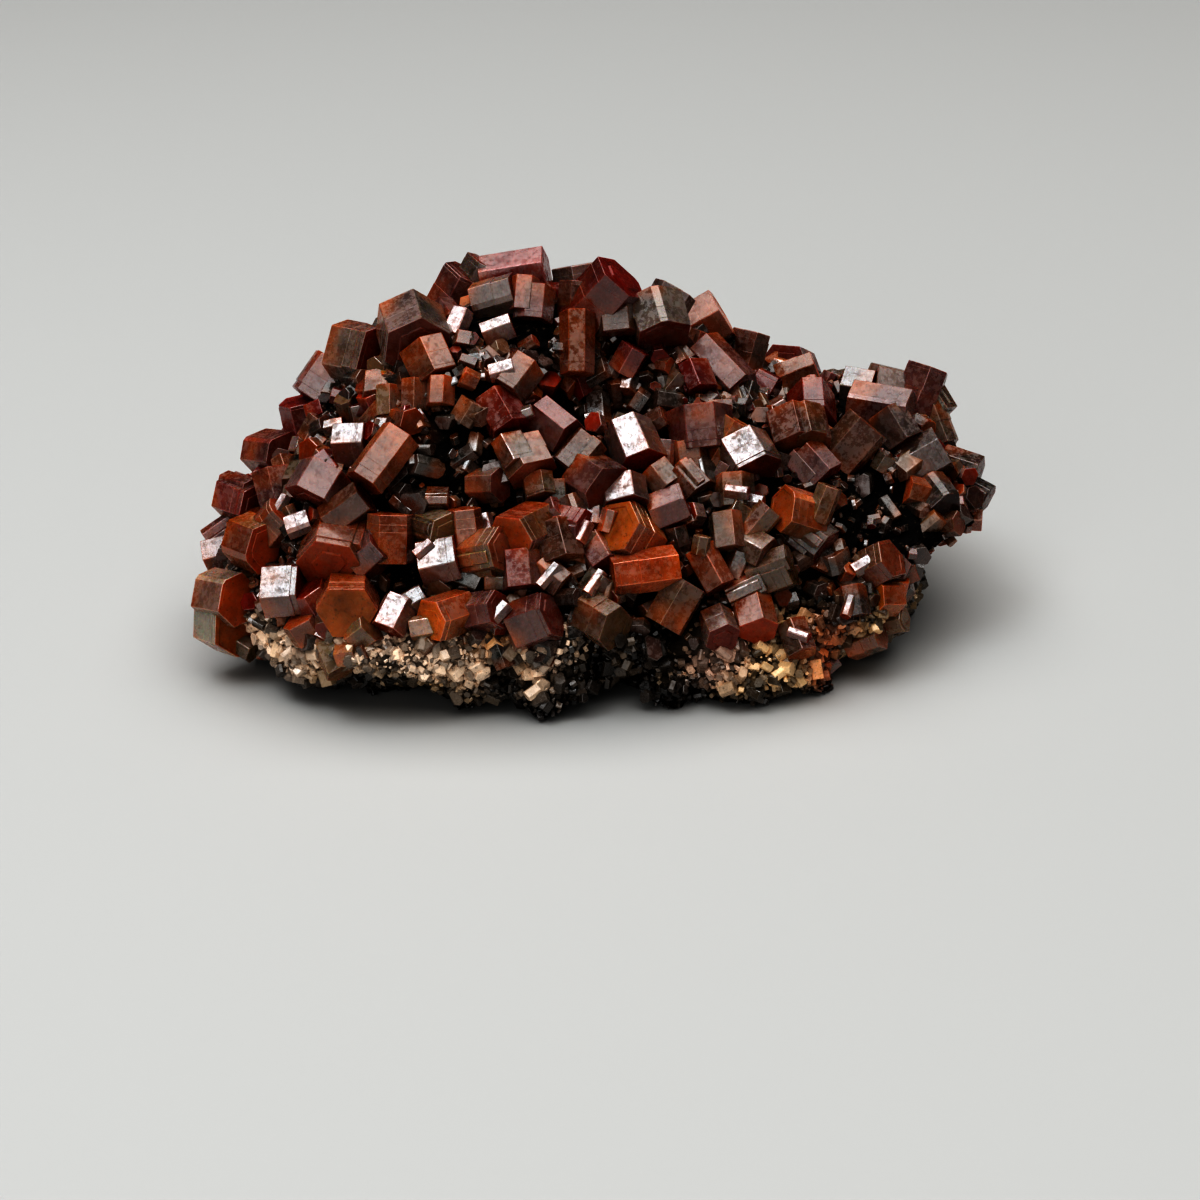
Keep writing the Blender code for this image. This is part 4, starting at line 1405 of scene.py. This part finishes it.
        sides = np.concatenate([np.tile(np.arange(around) // per_side, rings - 1), [0, 0]])
        colours, gloss = self.stains(prisms, part, sides)
        give_attribute(piece, "stain", "FLOAT_COLOR", "FACE", colours.reshape(-1, 4))
        give_attribute(piece, "polish", "FLOAT", "FACE", gloss.ravel())
        strange = self.random.uniform(*self.pattern_range, (count, 1, 3))
        give_attribute(piece, "grown", "FLOAT_VECTOR", "POINT", (local / MM + strange).reshape(-1, 3))
        length = (prisms.above + prisms.below)[:, None]
        give_attribute(piece, "depth", "FLOAT", "POINT", (local[..., 2] + prisms.below[:, None]) / length)
        ends = np.tile(part == Part.END.value, count).astype(np.int32)
        for finish in self.finishes:
            piece.data.materials.append(finish)
        piece.data.polygons.foreach_set("material_index", ends * (len(self.finishes) - 1))
        return piece


@dataclass
class Druse:
    """The crystals that the solids have: those of the display side, and those spread over the far side."""

    mound: Mound
    finishes: tuple[bpy.types.Material, ...]
    seed: int = 1838
    face_jitter: float = 0.13
    embed: float = 0.22
    face_on: float = 65.0
    tries: int = 9000
    widths: Pair = (2.6 * MM, 4.2 * MM)
    stoutness: Pair = (0.65, 1.0)
    spread_embed: float = 0.05
    nearness: float = 0.86
    uprightness: float = 0.7
    bare_below: float = 3.0 * MM
    bare_facing_viewer: float = -0.10
    bare_facing_down: float = 0.0
    twin_share: float = 0.35
    twin_widths: Pair = (0.38, 0.68)
    twin_reach: Pair = (0.55, 0.8)
    twin_rise: Pair = (-0.2, 0.12)
    twin_lengths: Pair = (0.75, 1.0)
    on_surface: float = 0.02 * MM
    far_looks: tuple[Look, ...] = (Look.RED, Look.ORANGE, Look.BROWN, Look.OLIVE, Look.GREY, Look.MAUVE,
                                   Look.MAUVE)
    perch_depth: float = 0.1
    prisms: Prisms = field(init=False)
    solids: BVHTree = field(init=False)

    def __post_init__(self) -> None:
        """Gathers the solids' triangles, for the sight lines that end on them."""
        points, triangles = [], []
        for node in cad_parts.values():
            start = len(points)
            points += [node.matrix_world @ vertex.co for vertex in node.data.vertices]
            triangles += [[start + k for k in face.vertices] for face in node.data.polygons]
        self.solids = BVHTree.FromPolygons(points, triangles)

    def perched(self, table: Sequence[Crystal], random: np.random.Generator) -> list[Shape]:
        """The crystals of a table, each where its sight line first meets a solid.

        Args:
            table: the crystals.
            random: the source of the faces' distances.

        Returns:
            Their prisms.
        """
        made = []
        for crystal in table:
            eye, ray = self.mound.sight.line(crystal.px, crystal.py)
            point, normal = self.solids.ray_cast(eye, ray)[:2]
            if point is None:
                point, normal = self.mound.seat(crystal.px, crystal.py, 0.0)[0], -ray
            middle = point - normal * self.perch_depth * crystal.width * MM
            made.append(self.posed(crystal, middle, normal, random))
        return made

    def prism(self, middle: Vector, axis: Vector, towards: Vector, width: float, length: float, roll: float,
              outward: Vector, random: np.random.Generator) -> Shape:
        """The prism of a crystal, its hidden end lengthened into the matrix where it stands on it.

        Args:
            middle: its middle.
            axis: its long axis.
            towards: the direction that its first face looks in, before the roll.
            width: across two opposite faces.
            length: from end to end.
            roll: the turn about its axis.
            outward: the matrix's normal there.
            random: the source of the faces' distances.

        Returns:
            The middle, the axes, the face distances, and how far it reaches below and above its middle.
        """
        side = towards - axis * towards.dot(axis)
        if side.length < 0.1:
            side = axis.orthogonal()
        side.normalize()
        side = Matrix.Rotation(roll, 3, axis) @ side
        axes = Matrix((side, axis.cross(side), axis)).transposed()
        faces = [width / 2 * (1 + random.uniform(-self.face_jitter, self.face_jitter)) for _ in range(SIDES)]
        standing = axis.dot(outward)
        below = length / 2 + max(0.0, standing) * self.embed * width
        above = length / 2 + max(0.0, -standing) * self.embed * width
        return middle, axes, faces, below, above

    def seen(self, table: Sequence[Crystal], random: np.random.Generator) -> list[Shape]:
        """The crystals of a table, each where its sight line meets the matrix.

        Args:
            table: the crystals.
            random: the source of the faces' distances.

        Returns:
            Their prisms.
        """
        made = []
        for crystal in table:
            size = max(crystal.width, crystal.length) * MM
            middle, miss = self.mound.seat(crystal.px, crystal.py, self.embed * size)
            outward = self.mound.distance(middle)[1]
            made.append(self.posed(crystal, middle - outward * max(0.0, miss) / 2, outward, random))
        return made

    def posed(self, crystal: Crystal, middle: Vector, outward: Vector, random: np.random.Generator) -> Shape:
        """The prism of a crystal of a table, in the pose that its row gives.

        Args:
            crystal: the row.
            middle: where its middle is.
            outward: the normal of what it grows on.
            random: the source of the faces' distances.

        Returns:
            Its prism.
        """
        right, up, near = self.mound.sight.axes()
        turn, roll = math.radians(crystal.turn), math.radians(crystal.roll)
        flat = right * math.cos(turn) + up * math.sin(turn)
        if crystal.face is None:
            axis = (flat - near * flat.dot(GLEAM) / near.dot(GLEAM)).normalized()
            towards = GLEAM
        else:
            face = math.radians(crystal.face)
            axis = flat * math.cos(face) + near * math.sin(face)
            towards = near if crystal.face < self.face_on else up
        width, length = crystal.width * MM, crystal.length * MM
        return self.prism(middle, axis, towards, width, length, roll, outward, random)

    def random_spot(self, corners: np.ndarray, share: np.ndarray, random: np.random.Generator) -> np.ndarray:
        """A point of a surface of triangles, as likely in one place as in another.

        Args:
            corners: the corners of each triangle, (count, 3, 3).
            share: each triangle's share of the area.
            random: the source of the place.

        Returns:
            The point.
        """
        first, second, third = corners[random.choice(len(corners), p=share)]
        a, b = random.random(2)
        if a + b > 1:
            a, b = 1 - a, 1 - b
        return first + a * (second - first) + b * (third - first)

    def spread(self, taken: list[Shape], random: np.random.Generator) -> list[Shape]:
        """The crystals of the far side, on spots that keep clear of the crystals there already.

        Args:
            taken: the prisms there already.
            random: the source of the spots and sizes.

        Returns:
            The new prisms.
        """
        points, faces = self.mound.coarse
        corners = points[np.array(faces)]
        areas = np.linalg.norm(np.cross(corners[:, 1] - corners[:, 0], corners[:, 2] - corners[:, 0]), axis=1)
        centres = [np.array(shape[0]) for shape in taken]
        sizes = [max(shape[2]) for shape in taken]
        near = self.mound.sight.axes()[2]
        made = []
        for _ in range(self.tries):
            spot = self.random_spot(corners, areas / areas.sum(), random)
            width = random.uniform(*self.widths)
            length = width * random.uniform(*self.stoutness)
            outward = self.mound.distance(Vector(spot))[1]
            gaps = np.linalg.norm(np.array(centres) - spot, axis=1)
            crowded = (gaps < self.nearness * (np.array(sizes) + width / 2)).any()
            low = spot[2] < self.bare_below or outward.z < self.bare_facing_down
            if crowded or low or outward.dot(near) > self.bare_facing_viewer:
                continue
            middle = Vector(spot) + outward * self.spread_embed * width
            lean = Vector(random.normal(size=3)).normalized()
            axis = (outward * self.uprightness + lean).normalized()
            centres.append(np.array(middle))
            sizes.append(width / 2)
            made.append(self.prism(middle, axis, lean.orthogonal(), width, length, 0.0, outward, random))
        return made

    def gathered(self, made: list[Shape], looks: Sequence[Look]) -> Prisms:
        """A list of prisms and their looks as arrays.

        Args:
            made: the prisms.
            looks: the look of each.

        Returns:
            The crystals.
        """
        middles, axes, faces, below, above = zip(*made)
        numbers = np.array([list(Look).index(look) for look in looks])
        arrays = [np.array(part, dtype=float) for part in (middles, axes, faces, below, above)]
        return Prisms(*arrays, numbers)

    def twins(self, prisms: Prisms, random: np.random.Generator) -> tuple[np.ndarray, Prisms]:
        """Smaller crystals grown side by side with some of the others, along the same axis.

        Args:
            prisms: the crystals that they grow beside.
            random: the source of their sizes and places.

        Returns:
            The number of the crystal that each grows beside, and the small crystals.
        """
        single = prisms.looks == list(Look).index(Look.GLINT)
        which = np.flatnonzero((random.uniform(size=len(prisms)) < self.twin_share) & ~single)
        which = np.concatenate([which, which[::2]])
        twins = prisms.chosen(which)
        count = len(twins)
        share = random.uniform(*self.twin_widths, (count, 1))
        angle = random.integers(0, SIDES, count) * math.tau / SIDES
        reach = prisms.faces[which].mean(axis=1) * random.uniform(*self.twin_reach, count)
        rise = random.uniform(*self.twin_rise, count) * (twins.above + twins.below)
        offset = np.stack([reach * np.cos(angle), reach * np.sin(angle), rise], axis=1)
        twins.middles = twins.middles + np.einsum("nij,nj->ni", twins.axes, offset)
        twins.faces = twins.faces * share
        twins.above = twins.above * random.uniform(*self.twin_lengths, count)
        return which, twins

    def owners(self, prisms: Prisms) -> list[str]:
        """The solid that each crystal is part of: the one whose surface holds the most of its corners.

        Args:
            prisms: the crystals.

        Returns:
            The name of a node for each crystal.
        """
        corners = prisms.corners()
        names = sorted(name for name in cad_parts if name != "matrix")
        scores = []
        for name in names:
            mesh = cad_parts[name].data
            triangles = [tuple(face.vertices) for face in mesh.polygons]
            tree = BVHTree.FromPolygons([vertex.co for vertex in mesh.vertices], triangles)
            gaps = np.array([[tree.find_nearest(Vector(point))[3] for point in shape] for shape in corners])
            scores.append((gaps < self.on_surface).sum(axis=1) - gaps.mean(axis=1) / MM * 0.01)
        return [names[k] for k in np.argmax(scores, axis=0)]

    def build(self) -> list[bpy.types.Object]:
        """Makes one piece for each of the solids that holds crystals.

        Returns:
            The pieces.
        """
        random = np.random.default_rng(self.seed)
        table = (*CREST, *LEFT_FLANK, *FRONT, *RIGHT_SIDE)
        seen = self.seen(table, random)
        far = self.spread(seen, random)
        far_looks = [self.far_looks[k] for k in random.integers(0, len(self.far_looks), len(far))]
        plain = self.gathered(seen + far, [crystal.look for crystal in table] + far_looks)
        owners = self.owners(plain)
        which, twins = self.twins(plain, random)
        owners = np.array(owners + [owners[k] for k in which])
        self.prisms = plain.joined(twins)
        cutter = Cutter(random, self.finishes)
        pieces = []
        for name in sorted(set(owners)):
            piece = cutter.cut(f"{name}_crystals", self.prisms.chosen(owners == name), Detail.GROWN)
            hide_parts(name)
            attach(piece, "root")
            pieces.append(piece)
        missing = sorted(set(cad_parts) - set(owners) - {"matrix"})
        LOG.info("%d crystals and %d twins, solids with none: %s", len(plain), len(twins), missing)
        return pieces


@dataclass
class Undergrowth:
    """Small crystals on the matrix, between and below the large ones: one size range of them."""

    name: str
    mound: Mound
    large: Prisms
    finishes: tuple[bpy.types.Material, ...]
    count: int
    sizes: Pair
    heights: Pair
    detail: Detail
    seed: int
    stoutness: Pair = (0.6, 1.3)
    uneven: float = 0.14
    upright: float = 0.5
    proud: float = 0.25
    hidden_depth: float = 0.15 * MM
    # The dark brown and near black looks here darken the gaps between the large crystals: painted shade
    looks: tuple[Look, ...] = (Look.BROWN, Look.OLIVE, Look.GREY, Look.GLINT, Look.DUSK, Look.SOOTY)
    stained: bool = False
    bare_share: float = 0.12
    gleam_share: float = 0.0
    gleam_scatter: float = 0.10
    small_bias: float = 1.6
    shade_root: float = 1.3
    shade_least: float = 0.20
    # The grains keep the matrix's tan, and this gain lightens it: painted light on the foot
    stain_gain: float = 2.6
    stain_lift: Tint = (0.036, 0.028, 0.021)
    stain_most: float = 0.9
    extra: Sequence[Crystal] = ()

    def spots(self, random: np.random.Generator) -> tuple[np.ndarray, np.ndarray]:
        """Random points of the rough matrix in a band of heights, outside the large crystals.

        Args:
            random: the source of the places.

        Returns:
            The points and the normals there.
        """
        fine = self.mound.fine
        wall = slice(self.mound.fine_foot, None)
        points = fine[wall].reshape(-1, 3)
        normals = self.mound.fine_normals[wall].reshape(-1, 3)
        low, high = self.heights
        inside = (points[:, 2] > low) & (points[:, 2] < high)
        points, normals = points[inside], normals[inside]
        picked = random.choice(len(points), min(len(points), self.count * 3), replace=False)
        points, normals = points[picked], normals[picked]
        shown = ~self.large.hide(points + normals * self.sizes[0] / 2, self.hidden_depth)
        shown &= ~self.bare(points, random)
        return points[shown][: self.count], normals[shown][: self.count]

    def bare(self, points: np.ndarray, random: np.random.Generator) -> np.ndarray:
        """Which points lie in a bare hollow, but for a few.

        Args:
            points: the points, (count, 3).
            random: the source of the few.

        Returns:
            True for each point that does.
        """
        inside = np.zeros(len(points), bool)
        for px, py, reach in BARE:
            middle = np.array(self.mound.seat(px, py, 0.0)[0])
            inside |= np.linalg.norm(points - middle, axis=1) < reach * MM
        return inside & (random.uniform(size=len(points)) > self.bare_share)

    def grow(self, random: np.random.Generator) -> Prisms:
        """The small crystals.

        Args:
            random: the source of their places, sizes and directions.

        Returns:
            The crystals.
        """
        points, normals = self.spots(random)
        count = len(points)
        low, high = np.log(self.sizes[0]), np.log(self.sizes[1])
        width = np.exp(random.uniform(0, 1, count) ** self.small_bias * (high - low) + low)
        length = width * random.uniform(*self.stoutness, count)
        lean = random.normal(size=(count, 3))
        lean /= np.linalg.norm(lean, axis=1, keepdims=True)
        axis = normals * self.upright + lean
        gleam = np.array(GLEAM) + random.normal(size=(count, 3)) * self.gleam_scatter
        gleaming = (random.uniform(size=count) < self.gleam_share)[:, None]
        axis -= gleaming * gleam * (axis * gleam).sum(axis=1, keepdims=True)
        axis /= np.linalg.norm(axis, axis=1, keepdims=True)
        side = np.where(gleaming, gleam, random.normal(size=(count, 3)))
        side -= axis * (side * axis).sum(axis=1, keepdims=True)
        side /= np.linalg.norm(side, axis=1, keepdims=True)
        axes = np.stack([side, np.cross(axis, side), axis], axis=2)
        faces = width[:, None] / 2 * random.uniform(1 - self.uneven, 1 + self.uneven, (count, SIDES))
        middles = points + normals * (width * self.proud)[:, None]
        numbers = [list(Look).index(look) for look in self.looks]
        looks = random.choice(numbers, count)
        return Prisms(middles, axes, faces, length / 2, length / 2, looks)

    def fits(self, prisms: Prisms) -> np.ndarray:
        """Which crystals stay inside the solid model's box.

        Args:
            prisms: the crystals.

        Returns:
            True for each crystal that does.
        """
        corners = prisms.corners()
        low, high = np.array(cad_box[0]), np.array(cad_box[1])
        return ((corners >= low) & (corners <= high)).all(axis=(1, 2))

    def build(self, druse: Druse) -> bpy.types.Object:
        """Makes the piece.

        Args:
            druse: the large crystals, whose way of seating a crystal the picked small ones share.

        Returns:
            The piece.
        """
        random = np.random.default_rng(self.seed)
        prisms = self.grow(random)
        if self.extra:
            picked = druse.perched(self.extra, random)
            prisms = druse.gathered(picked, [crystal.look for crystal in self.extra]).joined(prisms)
        prisms = prisms.chosen(self.fits(prisms))
        piece = Cutter(random, self.finishes).cut(self.name, prisms, self.detail)
        if self.stained:
            self.stain(piece, prisms, random)
        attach(piece, "root")
        return piece

    def stain(self, piece: bpy.types.Object, prisms: Prisms, random: np.random.Generator) -> None:
        """Gives the faces the matrix's colour where they stand, lightened by a gain that paints in light on
        the foot, and varied by crystal.

        Args:
            piece: the piece.
            prisms: its crystals.
            random: the source of the shades.
        """
        shade = random.uniform(0.0, self.shade_root, (len(prisms), 1)) ** 2 + self.shade_least
        base = self.mound.stains(prisms.middles, 1.0) * self.stain_gain + np.array(self.stain_lift)
        base *= shade
        base *= np.minimum(1.0, self.stain_most / base.max(axis=1, keepdims=True))
        each = len(piece.data.polygons) // len(prisms)
        colours = np.repeat(np.concatenate([base, np.ones((len(prisms), 1))], axis=1), each, axis=0)
        piece.data.attributes["stain"].data.foreach_set("color", colours.astype(np.float32).ravel())


@dataclass
class Studio:
    """The plain setting: a pale floor, a wide soft light overhead, a smaller bright one and a weak fill."""

    floor_size: float = 3.0
    world: Colour = (0.92, 0.96, 1.0, 1.0)
    world_strength: float = 0.05
    overhead_place: Triple = (0.0, 0.02, 0.8)
    overhead_size: float = 1.25
    overhead_power: float = 7.7
    key_from: Triple = (-0.36, -0.16, 0.92)
    key_distance: float = 0.4
    key_size: float = 0.16
    key_power: float = 0.22
    key_colour: Tint = (0.86, 0.93, 1.0)
    fill_from: Triple = (-0.30, -0.86, 0.30)
    fill_distance: float = 0.6
    fill_size: float = 0.5
    fill_power: float = 0.80
    gamma: float = 0.76

    def floor(self) -> None:
        """Lays the floor."""
        half = self.floor_size / 2
        points = np.array([(-half, -half, 0), (half, -half, 0), (half, half, 0), (-half, half, 0)])
        piece = piece_from("floor", points, np.arange(4), np.array([4]))
        piece.data.materials.append(FloorFinish().material())

    def light(self, name: str, place: Vector, size: float, power: float) -> bpy.types.Light:
        """Hangs a square light.

        Args:
            name: its name.
            place: where it hangs; it looks at the origin.
            size: its side.
            power: in watts.

        Returns:
            The light.
        """
        lamp = bpy.data.lights.new(name, "AREA")
        lamp.size = size
        lamp.energy = power
        stand = bpy.data.objects.new(name, lamp)
        stand.location = place
        stand.rotation_euler = (-place).to_track_quat("-Z", "Y").to_euler()
        bpy.context.scene.collection.objects.link(stand)
        return lamp

    def build(self, sight: Sight) -> None:
        """Makes the floor, the lights, the world and the camera.

        Args:
            sight: the viewer's eye.
        """
        self.floor()
        self.light("overhead", Vector(self.overhead_place), self.overhead_size, self.overhead_power)
        key = Vector(self.key_from).normalized() * self.key_distance
        lamp = self.light("key", key, self.key_size, self.key_power)
        lamp.color = self.key_colour
        fill = Vector(self.fill_from).normalized() * self.fill_distance
        self.light("fill", fill, self.fill_size, self.fill_power)
        world = bpy.data.worlds.new("studio")
        world.use_nodes = True
        world.node_tree.nodes["Background"].inputs["Color"].default_value = self.world
        world.node_tree.nodes["Background"].inputs["Strength"].default_value = self.world_strength
        bpy.context.scene.world = world
        bpy.context.scene.view_settings.view_transform = "Standard"
        bpy.context.scene.view_settings.look = "Very High Contrast"
        bpy.context.scene.view_settings.gamma = self.gamma
        sight.camera()


def report(piece: bpy.types.Object) -> None:
    """Logs a piece's name and how many faces it has."""
    LOG.info("%s: %d faces", piece.name, len(piece.data.polygons))


def main() -> None:
    """Builds the setting, the matrix, the large crystals and the small ones, in that order."""
    logging.basicConfig(level=logging.INFO, format="%(name)s: %(message)s")
    sight = Sight()
    Studio().build(sight)
    mound = Mound(sight)
    report(mound.build())
    ends = CrystalFinish(name="vanadinite_ends", index=1.52, dust_most=0.3, dull=0.18, root_most=0.3,
                         veil_most=0.3)
    lustre = (CrystalFinish().material(), ends.material())
    druse = Druse(mound, lustre)
    for piece in druse.build():
        report(piece)
    dark = (CrystalFinish(name="dark_lustre", glow=0.0).material(),)
    grainy = CrystalFinish(name="sugar_lustre", index=1.8, glow=0.0, dust_most=0.1, root_most=0.0,
                           veil_most=0.0)
    sugar = (grainy.material(),)
    growths = (
        # The dark brown look among the middling crystals darkens the gaps: painted shade
        Undergrowth("middling_crystals", mound, druse.prisms, lustre, 300, (1.0 * MM, 2.3 * MM),
                    (5.5 * MM, 24.0 * MM), Detail.PLAIN, 70, hidden_depth=-0.25 * MM, proud=0.1,
                    looks=(Look.ORANGE, Look.AMBER, Look.BROWN, Look.RED, Look.OLIVE, Look.MAUVE, Look.DUSK,
                           Look.DUSK)),
        Undergrowth("small_crystals", mound, druse.prisms, lustre, 560, (0.45 * MM, 1.5 * MM),
                    (6.0 * MM, 22.0 * MM), Detail.PLAIN, 71, extra=SMALL_SEEN, gleam_share=0.18),
        Undergrowth("dark_crystals", mound, druse.prisms, dark, 1500, (0.35 * MM, 1.7 * MM),
                    (4.5 * MM, 21.0 * MM), Detail.PLAIN, 74, bare_share=1.0, proud=0.05,
                    looks=(Look.SOOTY, Look.SOOTY, Look.SOOTY, Look.OLIVE), gleam_share=0.10,
                    stoutness=(0.3, 1.6), uneven=0.35),
        Undergrowth("foot_crystals", mound, druse.prisms, sugar, 2000, (0.30 * MM, 0.95 * MM),
                    (1.2 * MM, 6.0 * MM), Detail.PLAIN, 72, stained=True, gleam_share=0.08,
                    stoutness=(0.8, 1.7), uneven=0.3, upright=0.1),
        Undergrowth("sugar_grains", mound, druse.prisms, sugar, 9000, (0.15 * MM, 0.44 * MM),
                    (0.2 * MM, 7.0 * MM), Detail.TINY, 73, stained=True, gleam_share=0.05,
                    stoutness=(0.8, 1.9), uneven=0.4, upright=0.0),
    )
    for growth in growths:
        report(growth.build(druse))


if __name__ == "__main__":
    main()
